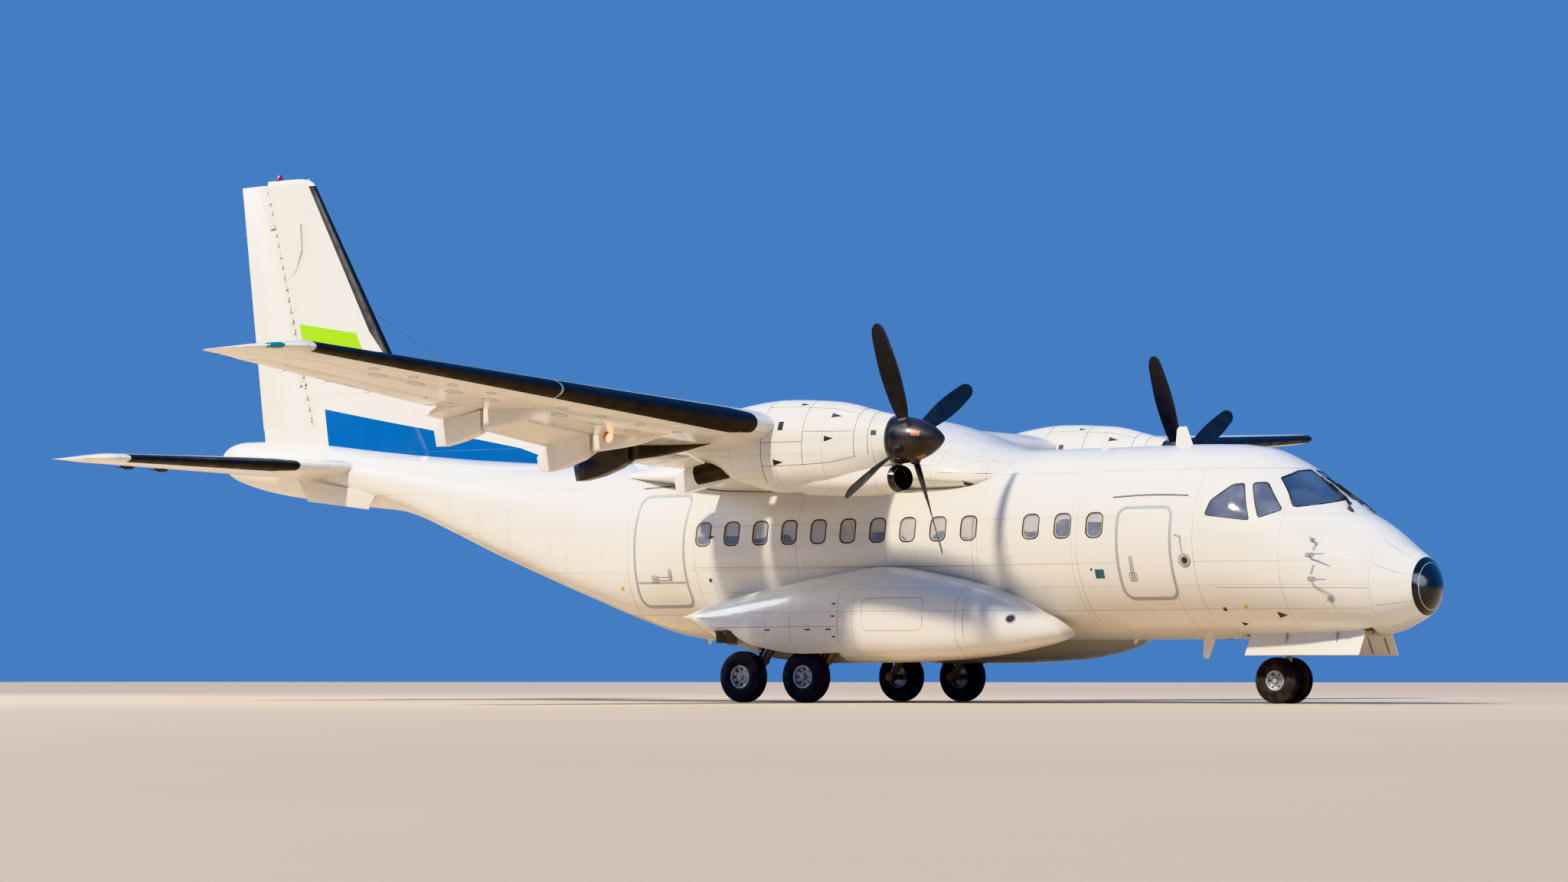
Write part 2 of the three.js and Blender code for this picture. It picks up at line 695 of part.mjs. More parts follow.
const hungRamp = hangLeaf(largest(ramp), RAMP_HINGE);
const hungUpperDoor = hangLeaf(largest(upperDoor), UPPER_DOOR_HINGE);

// Pads for jacks under the nose, and blade aerials on the roof: station, height of the blade
const JACK_PAD = { station: 3100, radius: 45, drop: 15 };
fuselage = fuselage.add(bar(
  point(JACK_PAD.station, 0, CABIN_BOTTOM + 40), point(JACK_PAD.station, 0, CABIN_BOTTOM - JACK_PAD.drop),
  JACK_PAD.radius,
));
const AERIALS = [[3780, 260], [13050, 330]];
for (const [station, height] of AERIALS) {
  const foot = CABIN_TOP - 60;
  const tip = CABIN_TOP + height;
  const lower = [[-150, -14], [-20, -26], [150, 0], [-20, 26], [-150, 14]];
  const upper = lower.map(([s, y]) => [s * 0.45 + 140, y * 0.6]);
  fuselage = fuselage.add(loft([[lower, foot], [upper, tip]].map(([outline, z]) =>
    outline.map(([s, y]) => point(station + s, y, z)))));
}

const RADOME_TIP_BACK = 160;
const RADOME_BACK = 620;
const AFT_FUSELAGE_FRONT = 12200;
const TAIL_CONE_FRONT = 17600;
const FUSELAGE_PIECES = [
  ['radome_tip', -100, RADOME_TIP_BACK, BLACK_RUBBER],
  ['radome', RADOME_TIP_BACK, RADOME_BACK, WHITE_PAINT],
  ['fuselage', RADOME_BACK, AFT_FUSELAGE_FRONT, WHITE_PAINT],
  ['aft_fuselage', AFT_FUSELAGE_FRONT, TAIL_CONE_FRONT, WHITE_PAINT],
  ['tail_cone', TAIL_CONE_FRONT, LENGTH + 100, WHITE_PAINT],
];
for (const [name, front, back, material] of FUSELAGE_PIECES) {
  const slab = block(front + FIT_GAP / 2, back - FIT_GAP / 2, -FAR, FAR, -FAR, FAR);
  addPiece(name, largest(fuselage.intersect(slab)), material);
}
addPiece('cargo_ramp', largest(hungRamp), WHITE_PAINT);
addPiece('upper_cargo_door', largest(hungUpperDoor), WHITE_PAINT);

// The fairing between wing and fuselage: station, half width, bottom, top, widest height
const outerSkin = fuselageSkin(-FIT_GAP);
const WING_FAIRING = [
  [5900, 850, 3050, 3420, 3120],
  [6500, 1240, 2820, 3560, 3050],
  [7200, 1400, 2790, 3800, 3120],
  [7900, 1440, 2790, 3960, 3160],
  [9300, 1450, 2800, 3990, 3180],
  [10600, 1410, 2870, 3830, 3180],
  [11500, 1280, 3040, 3640, 3200],
  [12600, 880, 3180, 3440, 3250],
].map(([station, halfWidth, bottom, top, widest]) => ({
  station, halfWidth, bottom, top, widest, squareness: 2,
}));
const wingFairing = loft(WING_FAIRING.map(section => ovalRing(section, SIDE_BODY_POINTS)))
  .subtract(outerSkin)
  .subtract(wingRoom);
addPiece('wing_fairing', largest(wingFairing), WHITE_PAINT);

// Nacelles, engines and propellers

const NACELLE = [
  [6090, 330, 3125, 3795, 3460, 2],
  [6350, 385, 3000, 3855, 3445, 2],
  [7040, 470, 2830, 4010, 3400, 2.2],
  [7890, 515, 2810, 4055, 3400, 2.3],
  [8460, 500, 2930, 4000, 3400, 2.3],
  [8900, 450, 3110, 3900, 3420, 2.2],
  [9350, 330, 3300, 3750, 3480, 2],
  [9600, 180, 3430, 3640, 3520, 2],
];
const INTAKE = [
  [6010, 235, 2800, 3125, 2965, 2],
  [6130, 270, 2765, 3150, 2965, 2],
  [6600, 300, 2740, 3200, 2970, 2],
  [7500, 330, 2770, 3300, 3000, 2],
];
const INTAKE_DUCT = [
  [5990, 200, 2835, 3090, 2965, 2],
  [6420, 165, 2870, 3060, 2965, 2],
];
const INTAKE_LIP_BACK = 6085;
const SHAFT_ROOM = 8;
const ENGINE_ROOM = 30;

const ovals = (table, y) => loft(table.map(([station, halfWidth, bottom, top, widest, squareness]) =>
  ovalRing({ station, y, halfWidth, bottom, top, widest, squareness }, SIDE_BODY_POINTS)));

// Blade sections: radius, chord, thickness, pitch in degrees
const BLADE = [
  [240, 110, 80, 70],
  [500, 205, 48, 57],
  [1000, 262, 28, 40],
  [1520, 205, 14, 30],
  [PROPELLER_RADIUS, 70, 6, 27],
];
const BLADE_STATION = 5905;
const BLADE_PHASE = 28;
const SPINNER_SPLIT = 5790;

function bladeSolid(hub, turn) {
  const outline = [[-0.5, 0], [-0.25, 0.45], [0.15, 0.4], [0.5, 0], [0.1, -0.2], [-0.3, -0.3]];
  const rings = BLADE.map(([radius, chord, thickness, pitch]) => {
    const angle = THREE.MathUtils.degToRad(pitch);
    return outline.map(([c, h]) => {
      const along = c * chord * Math.sin(angle) + h * thickness * Math.cos(angle);
      const around = c * chord * Math.cos(angle) - h * thickness * Math.sin(angle);
      return new THREE.Vector3(along, around, radius)
        .applyAxisAngle(new THREE.Vector3(1, 0, 0), turn)
        .add(hub);
    });
  });
  return loft(rings);
}

function spinnerProfile(fromStation, toStation) {
  const steps = 4;
  const radiusAt = station => {
    const fraction = (station - SPINNER_FRONT) / (SPINNER_BACK - SPINNER_FRONT);
    return SPINNER_RADIUS * Math.sin(Math.PI / 2 * fraction ** 0.72);
  };
  const profile = [[0, -fromStation]];
  for (let step = 0; step <= steps; step += 1) {
    const station = fromStation + step / steps * (toStation - fromStation);
    profile.push([radiusAt(station), -station]);
  }
  profile.push([0, -toStation]);
  return profile.filter(([r], i) => i === 0 || r > 0 || i === profile.length - 1);
}

for (const [sideName, side] of SIDES) {
  const y = side * ENGINE_Y;
  const axisPoint = station => point(station, y, PROPELLER_HEIGHT);
  const isOpen = ENGINE_RADIUS + ENGINE_ROOM;
  const engineRoom = bar(
    axisPoint(ENGINE_FRONT).setZ(PROPELLER_HEIGHT - 40), axisPoint(ENGINE_BACK + 20).setZ(PROPELLER_HEIGHT - 40), isOpen,
    isOpen, 14,
  );
  const shaftHole = bar(axisPoint(6000), axisPoint(ENGINE_FRONT + 10), SHAFT_RADIUS + SHAFT_ROOM);
  const intake = ovals(INTAKE, y).subtract(ovals(INTAKE_DUCT, y));
  const nacelle = ovals(NACELLE, y).add(intake).subtract(ovals(INTAKE_DUCT, y))
    .subtract(wingRoom)
    .subtract(engineRoom)
    .subtract(shaftHole);
  const lipSlab = (from, to) => block(from, to, y - 400, y + 400, 2700, 3300);
  const lip = intake.intersect(lipSlab(5900, INTAKE_LIP_BACK - FIT_GAP));
  addPiece(`intake_lip_${sideName}`, largest(lip), BLACK_RUBBER);
  addPiece(`nacelle_${sideName}`, largest(nacelle.subtract(lipSlab(5900, INTAKE_LIP_BACK))), WHITE_PAINT);
  addPiece(`engine_${sideName}`, bar(
    axisPoint(ENGINE_FRONT + FIT_GAP).setZ(PROPELLER_HEIGHT - 40),
    axisPoint(ENGINE_BACK).setZ(PROPELLER_HEIGHT - 40),
    ENGINE_RADIUS, ENGINE_RADIUS, 14,
  ), BARE_METAL);
  const centre = new THREE.Vector3(LENGTH / 2, y, PROPELLER_HEIGHT);
  const spinner = turned(spinnerProfile(SPINNER_FRONT, SPINNER_SPLIT - FIT_GAP), true, centre, 20);
  addPiece(`spinner_${sideName}`, spinner, SPINNER_BROWN);
  let propeller = turned(spinnerProfile(SPINNER_SPLIT, SPINNER_BACK), true, centre, 20)
    .add(bar(axisPoint(SPINNER_BACK - 20), axisPoint(ENGINE_FRONT), SHAFT_RADIUS));
  for (let blade = 0; blade < BLADE_COUNT; blade += 1) {
    const turn = THREE.MathUtils.degToRad(BLADE_PHASE + blade * 360 / BLADE_COUNT);
    propeller = propeller.add(bladeSolid(axisPoint(BLADE_STATION), turn));
  }
  addPiece(`propeller_${sideName}`, largest(propeller), SOOT_BLACK);
}

// Fin and rudder

const FIN_THICKNESS = 0.12;
const FIN_SECTION_HEIGHTS = [3700, 8120];
const FIN_CAP = [HEIGHT, 260, 60];
const RUDDER_HEIGHTS = [4240, 8110];
const RUDDER_GAP = 12;
const finLeading = z => 17650 + 0.585 * (z - 4880);
const finTrailing = z => 20600 + 0.127 * (z - 4620);
const finHinge = z => 19510 + 0.27 * (z - 4310);
const finPlace = z => ({
  leading: finLeading(z), chord: finTrailing(z) - finLeading(z), thickness: FIN_THICKNESS,
});
const finHingeShare = z => (finHinge(z) - finLeading(z)) / finPlace(z).chord;

// The dorsal fin as [station, height], seen from the side
const DORSAL = [[13850, 3420], [15270, 3990], [16550, 4440], [17640, 4850], [18400, 5900], [18900, 3700]];
const DORSAL_HALF = 55;

const [capHeight, capInset, capBack] = FIN_CAP;
const capPlace = {
  leading: finLeading(capHeight) + capInset,
  chord: finTrailing(capHeight) - finLeading(capHeight) - capInset - capBack,
  thickness: FIN_THICKNESS * 0.4,
};
const finRings = FIN_SECTION_HEIGHTS.map(z => uprightRing(aerofoilOutline(finPlace(z)), finPlace(z), z));
const dorsalRings = [[-DORSAL_HALF, 70], [-12, 0], [12, 0], [DORSAL_HALF, 70]].map(([y, inset]) =>
  DORSAL.map(([s, z], i) => point(s + (i < 5 ? inset : 0), y, z - (i > 0 && i < 5 ? inset * 0.4 : 0))));
const rudderNoseGap = z => surfaceAt(finHingeShare(z), finPlace(z)).half * finPlace(z).chord + RUDDER_GAP;
const rudderRoom = prism('side', [
  [finHinge(4200) - rudderNoseGap(4200), 4200],
  [finHinge(8300) - rudderNoseGap(8300), 8300],
  [24000, 8300],
  [24000, 4200],
], -FAR, FAR);
let fin = loft([...finRings, uprightRing(aerofoilOutline(capPlace), capPlace, capHeight)])
  .add(loft(dorsalRings))
  .subtract(outerSkin)
  .subtract(rudderRoom);
let rudder = loft(RUDDER_HEIGHTS.map(z =>
  uprightRing(tailOutline(finPlace(z), finHingeShare(z)), finPlace(z), z)));
const rudderAxis = point(finHinge(RUDDER_HEIGHTS[1]), 0, RUDDER_HEIGHTS[1])
  .sub(point(finHinge(RUDDER_HEIGHTS[0]), 0, RUDDER_HEIGHTS[0]));
for (const z of [4900, 7400]) {
  const { tongue, notch, pin } = hinge(point(finHinge(z), 0, z), rudderAxis, 210);
  rudder = rudder.subtract(notch).add(pin);
  fin = fin.add(tongue);
}
addPiece('fin', largest(fin), WHITE_PAINT);
addPiece('rudder', largest(rudder), WHITE_PAINT);

// Tailplane and elevators

const TAILPLANE_HEIGHT = 3550;
const TAILPLANE_THICKNESS = 0.12;
const ELEVATOR_Y = [720, 5000];
const tailLeading = y => 18016 + 0.18 * (y - 1000);
const tailTrailing = y => 20500 - 0.14 * (y - 1000);
const tailHinge = y => 19460 + 0.0472 * (y - 1200);
const tailPlace = y => ({
  leading: tailLeading(y),
  chord: tailTrailing(y) - tailLeading(y),
  height: TAILPLANE_HEIGHT,
  thickness: TAILPLANE_THICKNESS,
});
const tailHingeShare = y => (tailHinge(y) - tailLeading(y)) / tailPlace(y).chord;
const TAILPLANE_TIP = [[5180, 18860, 19905, 0.8], [5300, 19180, 19890, 0.35]];

for (const [sideName, side] of SIDES) {
  const rings = [300, 5040].map(y => levelRing(aerofoilOutline(tailPlace(y)), tailPlace(y), side * y));
  const tipRings = TAILPLANE_TIP.map(([y, leading, trailing, share]) => {
    const place = {
      leading, chord: trailing - leading, height: TAILPLANE_HEIGHT, thickness: TAILPLANE_THICKNESS * share,
    };
    return levelRing(aerofoilOutline(place), place, side * y);
  });
  const noseRoom = y => surfaceAt(tailHingeShare(y), tailPlace(y)).half * tailPlace(y).chord + RUDDER_GAP;
  const elevatorRoom = cutBehind(
    y => tailHinge(Math.abs(y)) - noseRoom(Math.abs(y)), side * 250, side * (ELEVATOR_Y[1] + FLAP_END_GAP),
  );
  let tailplane = loft([...rings, ...tipRings]).subtract(outerSkin).subtract(elevatorRoom);
  let elevator = loft(ELEVATOR_Y.map(y =>
    levelRing(tailOutline(tailPlace(y), tailHingeShare(y)), tailPlace(y), side * y)));
  const axis = point(tailHinge(2000), side * 2000, 0).sub(point(tailHinge(1000), side * 1000, 0));
  for (const y of [1500, 4400]) {
    const at = point(tailHinge(y), side * y, TAILPLANE_HEIGHT);
    const { tongue, notch, pin } = hinge(at, axis, 210);
    elevator = elevator.subtract(notch).add(pin);
    tailplane = tailplane.add(tongue);
  }
  addPiece(`tailplane_${sideName}`, largest(tailplane), WHITE_PAINT);
  addPiece(`elevator_${sideName}`, largest(elevator), WHITE_PAINT);

  const strakeOutline = [[17450, 3160], [17620, 2900], [18850, 3050], [19060, 3390]];
  const strake = prism('side', strakeOutline, side * 835, side * 860).subtract(outerSkin);
  addPiece(`strake_${sideName}`, largest(strake), WHITE_PAINT);
}

// Sponsons with the main wheel bays: station, bottom, top, outer y, squareness below

const SPONSON_INNER_Y = 880;
const SPONSON = [
  [4990, 880, 960, 1150, 2],
  [5300, 760, 1230, 1520, 2.2],
  [5800, 660, 1500, 1820, 2.5],
  [6550, 580, 1710, 2090, 2.8],
  [7600, 545, 1860, 2240, 3],
  [8550, 545, 1740, 2250, 3],
  [9400, 600, 1610, 2190, 2.8],
  [10150, 780, 1470, 2050, 2.5],
  [10700, 1030, 1330, 1870, 2],
];
const SPONSON_TAIL = [11000, 1700, 1200];
const MAIN_BAY = { front: 8000, back: 10200, inner: 1500, outer: 2110, roof: 1000 };

// The wheel's section: radius, distance from its middle
const MAIN_AXLE_RADIUS = 40;
const MAIN_WHEEL = [
  [MAIN_AXLE_RADIUS + 1, -60], [135, -55], [MAIN_RIM_RADIUS, -95],
  [250, -MAIN_TYRE_WIDTH / 2], [328, -98], [MAIN_TYRE_RADIUS, -45],
  [MAIN_TYRE_RADIUS, 45], [328, 98], [250, MAIN_TYRE_WIDTH / 2],
  [MAIN_RIM_RADIUS, 95], [135, 55], [MAIN_AXLE_RADIUS + 1, 60],
];
const closedRing = profile => [...profile, profile[0]];
const WHEEL_SIDES = 22;
const ARM_Y = 1680;

for (const [sideName, side] of SIDES) {
  const rings = SPONSON.map(([station, bottom, top, outerY, squareness]) => ovalRing({
    station,
    y: side * (outerY + SPONSON_INNER_Y) / 2,
    halfWidth: (outerY - SPONSON_INNER_Y) / 2,
    bottom,
    top,
    widest: (bottom + top) / 2,
    squareness,
  }, SIDE_BODY_POINTS));
  const [tailStation, tailY, tailZ] = SPONSON_TAIL;
  const bay = block(
    MAIN_BAY.front, MAIN_BAY.back, side * MAIN_BAY.inner, side * MAIN_BAY.outer, 0, MAIN_BAY.roof,
  );
  const sponson = loft(rings, null, point(tailStation, side * tailY, tailZ)).subtract(outerSkin).subtract(bay);
  addPiece(`sponson_${sideName}`, largest(sponson), WHITE_PAINT);

  const beamTop = MAIN_BAY.roof - FIT_GAP;
  let gear = block(8080, 9500, side * (ARM_Y - 45), side * (ARM_Y + 45), beamTop - 90, beamTop);
  for (const station of [MAIN_FRONT_STATION, MAIN_REAR_STATION]) {
    const y = side * ARM_Y;
    const hub = point(station, y, MAIN_TYRE_RADIUS);
    const wheelName = station === MAIN_FRONT_STATION ? 'front' : 'rear';
    gear = gear
      .add(bar(point(station - 430, y, beamTop - 60), hub, 62, 52, 10))
      .add(bar(point(station - 130, y, beamTop - 60), point(station - 60, y, MAIN_TYRE_RADIUS + 90), 26, 26, 8))
      .add(bar(
        hub.clone().setY(side * (ARM_Y - 60)), hub.clone().setY(side * (MAIN_TRACK_HALF + 90)),
        MAIN_AXLE_RADIUS, MAIN_AXLE_RADIUS, WHEEL_SIDES,
      ))
      .add(bar(hub.clone().setY(side * (ARM_Y - 60)), hub.clone().setY(side * (ARM_Y + 60)), 66, 66, 10));
    const wheelCentre = hub.clone().setY(side * MAIN_TRACK_HALF);
    addPiece(
      `main_wheel_${wheelName}_${sideName}`,
      turned(closedRing(MAIN_WHEEL), false, wheelCentre, WHEEL_SIDES),
      TYRE_RUBBER,
    );
  }
  addPiece(`main_gear_${sideName}`, largest(gear), GEAR_GREY);
}

// Nose gear: a fixed leg with its drag brace and lamps, a steered fork, and twin wheels

const LEG_FOOT = 640;
const NOSE_AXLE_RADIUS = 25;
const NOSE_WHEEL_SIDES = 20;
const roof = NOSE_BAY.roof - FIT_GAP;
const noseLeg = bar(point(NOSE_STRUT_STATION, 0, roof), point(NOSE_STRUT_STATION, 0, LEG_FOOT), 62)
  .add(bar(point(NOSE_STRUT_STATION, 0, 820), point(1720, 0, 1290), 32, 32, 10))
  .add(block(1640, 1800, -70, 70, 1230, roof))
  .add(bar(point(2140, -150, 760), point(2140, 150, 760), 18, 18, 8))
  .add(bar(point(2050, -150, 760), point(2160, -150, 760), 62, 40, 14))
  .add(bar(point(2050, 150, 760), point(2160, 150, 760), 62, 40, 14));
addPiece('nose_leg', largest(noseLeg), GEAR_GREY);

const axle = point(NOSE_WHEEL_STATION, 0, NOSE_TYRE_RADIUS);
const noseFork = bar(
  point(NOSE_STRUT_STATION, 0, LEG_FOOT - FIT_GAP), point(NOSE_STRUT_STATION, 0, NOSE_TYRE_RADIUS - 30), 42,
)
  .add(bar(axle.clone().setY(-62), axle.clone().setY(62), 48, 48, 16))
  .add(block(NOSE_STRUT_STATION - 40, NOSE_WHEEL_STATION, -38, 38, NOSE_TYRE_RADIUS - 38, NOSE_TYRE_RADIUS + 38))
  .subtract(bar(axle.clone().setY(-90), axle.clone().setY(90), NOSE_AXLE_RADIUS + 1, NOSE_AXLE_RADIUS + 1, NOSE_WHEEL_SIDES));
addPiece('nose_fork', largest(noseFork), GEAR_GREY);

const NOSE_WHEEL = [
  [0, -50], [110, -50], [NOSE_RIM_RADIUS, -84],
  [215, -NOSE_TYRE_WIDTH / 2], [283, -82], [NOSE_TYRE_RADIUS, -35],
  [NOSE_TYRE_RADIUS, 35], [283, 82], [215, NOSE_TYRE_WIDTH / 2],
  [NOSE_RIM_RADIUS, 84], [110, 50], [0, 50],
];
const noseWheels = SIDES
  .map(([, side]) => turned(NOSE_WHEEL, false, axle.clone().setY(side * NOSE_WHEEL_OFFSET), NOSE_WHEEL_SIDES))
  .reduce((sum, wheel) => sum.add(wheel), bar(
    axle.clone().setY(-NOSE_WHEEL_OFFSET), axle.clone().setY(NOSE_WHEEL_OFFSET),
    NOSE_AXLE_RADIUS, NOSE_AXLE_RADIUS, NOSE_WHEEL_SIDES,
  ));
addPiece('nose_wheels', largest(noseWheels), TYRE_RUBBER);

// Nose doors: bent plates that hang outwards from the sides of the bay, seen from the front
const NOSE_DOOR_PLATES = [
  [[399.7, 965], [399.7, 885], [382, 880], [382, 965]],
  [[399.7, 886], [560, 640], [545, 632], [382, 881]],
];
const NOSE_DOOR_STATIONS = [870, 2560];
for (const [sideName, side] of SIDES) {
  const [web, leaf] = NOSE_DOOR_PLATES.map(outline =>
    prism('front', outline.map(([y, z]) => [side * y, z]), ...NOSE_DOOR_STATIONS));
  addPiece(`nose_door_${sideName}`, largest(web.add(leaf)), WHITE_PAINT);
}

export default aircraft;
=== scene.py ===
# %% [markdown]
# # A twin-turboprop airliner, from bare frame to finished picture
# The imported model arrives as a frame: every solid at its real place, in metres, with X forward,
# Y to port and Z up. We never move those solids. Some keep their shape and get a finish, and
# the big skins are made again here with many more facets, because light on a glossy skin shows
# every flat. The visual model has to stay in the frame's box, so we note that box first.

# %% The frame and its box
import math
import bpy
from mathutils import Matrix, Vector


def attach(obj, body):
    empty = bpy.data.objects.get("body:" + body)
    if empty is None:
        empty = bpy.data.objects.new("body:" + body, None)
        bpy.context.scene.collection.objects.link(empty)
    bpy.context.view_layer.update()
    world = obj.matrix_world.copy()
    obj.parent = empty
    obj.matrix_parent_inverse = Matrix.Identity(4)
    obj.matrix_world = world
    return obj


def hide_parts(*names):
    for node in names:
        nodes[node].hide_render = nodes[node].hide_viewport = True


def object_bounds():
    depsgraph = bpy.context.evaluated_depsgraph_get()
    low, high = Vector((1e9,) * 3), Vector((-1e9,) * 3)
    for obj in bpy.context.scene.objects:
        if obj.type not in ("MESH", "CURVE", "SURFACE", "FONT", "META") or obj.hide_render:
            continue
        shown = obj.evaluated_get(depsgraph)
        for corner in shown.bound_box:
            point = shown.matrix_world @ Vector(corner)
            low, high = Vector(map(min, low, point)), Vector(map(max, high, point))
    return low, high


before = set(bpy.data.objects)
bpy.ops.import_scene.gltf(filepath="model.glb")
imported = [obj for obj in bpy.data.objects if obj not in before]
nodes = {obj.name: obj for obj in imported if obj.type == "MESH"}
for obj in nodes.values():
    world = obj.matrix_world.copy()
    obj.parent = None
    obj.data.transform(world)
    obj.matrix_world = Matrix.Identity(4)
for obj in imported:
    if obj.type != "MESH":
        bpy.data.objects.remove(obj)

cad_box = [list(corner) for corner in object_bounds()]
BOX_LOW, BOX_HIGH = (Vector(corner) for corner in cad_box)
LENGTH, SPAN = BOX_HIGH.x - BOX_LOW.x, BOX_HIGH.y - BOX_LOW.y
SIDES = {"left": 1, "right": -1}
bpy.ops.object.select_all(action="DESELECT")
print(f"{len(nodes)} solids, {LENGTH:.2f} m long, {SPAN:.2f} m span, {BOX_HIGH.z:.2f} m high")

# %% [markdown]
# Aircraft people give places as stations, a distance aft of the nose, so we do too. Two ways of
# joining the dots are needed: a straight one, and a smooth one that passes through all of them
# without overshooting, so that a flat stretch stays flat next to a curved one.

# %% Stations and smooth tables
def at(station, y, z):
    return Vector((LENGTH / 2 - station, y, z))


def smooth(table, x, column):
    """The value of one column at x, on a monotone curve through the table's rows."""
    if x <= table[0][0]:
        return table[0][column]
    if x >= table[-1][0]:
        return table[-1][column]
    i = max(k for k in range(len(table) - 1) if table[k][0] <= x)

    def rise(k):
        return (table[k + 1][column] - table[k][column]) / (table[k + 1][0] - table[k][0])

    def slope(k):
        if k == 0:
            return rise(0)
        if k == len(table) - 1:
            return rise(k - 1)
        before, after = rise(k - 1), rise(k)
        if before * after <= 0:
            return 0.0
        return 2 * before * after / (before + after)

    step = table[i + 1][0] - table[i][0]
    t = (x - table[i][0]) / step
    start, end = table[i][column], table[i + 1][column]
    return ((2 * t**3 - 3 * t**2 + 1) * start + (t**3 - 2 * t**2 + t) * step * slope(i)
            + (3 * t**2 - 2 * t**3) * end + (t**3 - t**2) * step * slope(i + 1))


def spread(start, end, count):
    return [start + (end - start) * k / (count - 1) for k in range(count)]


def blend(a, b, share):
    return a + (b - a) * share


def circle(count):
    """The angles of a full turn in equal steps."""
    return [2 * math.pi * k / count for k in range(count)]


print("station 0 is the nose, at X =", at(0, 0, 0).x)

# %% [markdown]
# Most of an aeroplane is skin over sections. A sheet of grid is laid round the sections like
# paper round a gift: each row of the grid takes one section's points, the two edges that meet
# are merged, and a row that shrinks to one point closes an end.

# %% Wrapping a grid round sections
def deselect():
    if bpy.context.object and bpy.context.object.mode != "OBJECT":
        bpy.ops.object.mode_set(mode="OBJECT")
    bpy.ops.object.select_all(action="DESELECT")


def pick(piece):
    deselect()
    piece.select_set(True)
    bpy.context.view_layer.objects.active = piece


def tidy_mesh(piece, gap=1e-6):
    pick(piece)
    bpy.ops.object.mode_set(mode="EDIT")
    bpy.ops.mesh.select_all(action="SELECT")
    bpy.ops.mesh.remove_doubles(threshold=gap)
    bpy.ops.mesh.normals_make_consistent(inside=False)
    bpy.ops.object.mode_set(mode="OBJECT")


def soften(piece, degrees=35):
    pick(piece)
    bpy.ops.object.shade_smooth_by_angle(angle=math.radians(degrees))


def wrap(name, rows, degrees=35, ring=False):
    """Rows of equally many points, each a closed loop. With ring, the last row meets the first."""
    if ring:
        rows = [*rows, rows[0]]
    count = len(rows[0])
    deselect()
    bpy.ops.mesh.primitive_grid_add(x_subdivisions=count, y_subdivisions=len(rows) - 1)
    piece = bpy.context.object
    piece.name = name
    piece.data.name = name
    places = [xyz for row in rows for point in [*row, row[0]] for xyz in point]
    piece.data.vertices.foreach_set("co", places)
    tidy_mesh(piece)
    soften(piece, degrees)
    return piece


def middle_of(row):
    """A row of equally many points, all in the middle of a row."""
    return [sum(row, Vector()) / len(row)] * len(row)


def capped(rows):
    """The rows with their two ends drawn together to a point."""
    return [middle_of(rows[0]), *rows, middle_of(rows[-1])]


print("wrap ready")

# %% [markdown]
# Hulls, wings, tubes, wheels and rings all come from that one helper, so tubes and turned bodies
# are only a way to lay out its rows. Openings are cut with exact booleans, and sheet edges get a
# small bevel, because no real edge is sharp.

# %% Blocks, tubes, turned bodies and cuts
def block(name, outline, low, high):
    """A straight block on an outline of (station, y), between two heights."""
    return wrap(name, capped([[at(s, y, z) for s, y in outline] for z in (low, high)]))


def slab(name, outline, half):
    """A straight slab on an outline of (station, z), so far to port and to starboard."""
    return wrap(name, capped([[at(s, y, z) for s, z in outline] for y in (-half, half)]))


def join(name, parts):
    deselect()
    for part in parts:
        part.select_set(True)
    bpy.context.view_layer.objects.active = parts[0]
    if len(parts) > 1:
        bpy.ops.object.join()
    parts[0].name = name
    parts[0].data.name = name
    return parts[0]


def cut(piece, tool, operation="DIFFERENCE", keep_tool=False):
    """Cuts a piece with another one, joins it to it, or keeps what both share."""
    pick(piece)
    modifier = piece.modifiers.new("cut", "BOOLEAN")
    modifier.operation = operation
    modifier.solver = "EXACT"
    modifier.object = tool
    bpy.ops.object.modifier_apply(modifier=modifier.name)
    if not keep_tool:
        bpy.data.objects.remove(tool)
    return piece


def bevel(piece, width, segments=2, degrees=30):
    pick(piece)
    modifier = piece.modifiers.new("edge", "BEVEL")
    modifier.width = width
    modifier.segments = segments
    modifier.limit_method = "ANGLE"
    modifier.angle_limit = math.radians(degrees)
    bpy.ops.object.modifier_apply(modifier=modifier.name)
    soften(piece, degrees)
    return piece


def box_piece(name, corner, opposite, edge=0.0):
    """A box between two corners, its edges rounded."""
    middle = (Vector(corner) + Vector(opposite)) / 2
    size = [abs(b - a) for a, b in zip(corner, opposite)]
    deselect()
    bpy.ops.mesh.primitive_cube_add(size=1, location=middle, scale=size)
    piece = bpy.context.object
    bpy.ops.object.transform_apply(location=True, rotation=True, scale=True)
    piece.name = name
    if edge:
        bevel(piece, edge)
    return piece


def tube(name, path, radii, sides=16, degrees=35):
    """A round bar along a path of points, with one radius for each."""
    rows = []
    for k, here in enumerate(path):
        ahead = path[min(k + 1, len(path) - 1)] - path[max(k - 1, 0)]
        turn = ahead.to_track_quat("Z", "Y")
        rows.append([here + turn @ Vector((math.cos(a), math.sin(a), 0)) * radii[k] for a in circle(sides)])
    return wrap(name, capped(rows), degrees)


def bar(name, start, end, radius, sides=16):
    return tube(name, [start, end], [radius, radius], sides)


def turned(name, profile, centre, axis, sides=48, closed=False, degrees=30):
    """A body spun about an axis through a centre, from (radius, distance along the axis) pairs."""
    along = Vector(axis).normalized()
    side = along.orthogonal().normalized()
    other = along.cross(side)
    ring = [side * math.cos(a) + other * math.sin(a) for a in circle(sides)]
    rows = [[centre + along * distance + ray * radius for ray in ring] for radius, distance in profile]
    return wrap(name, rows, degrees, ring=closed)


print("block, slab, join, cut, bevel, tube, bar and turned ready")
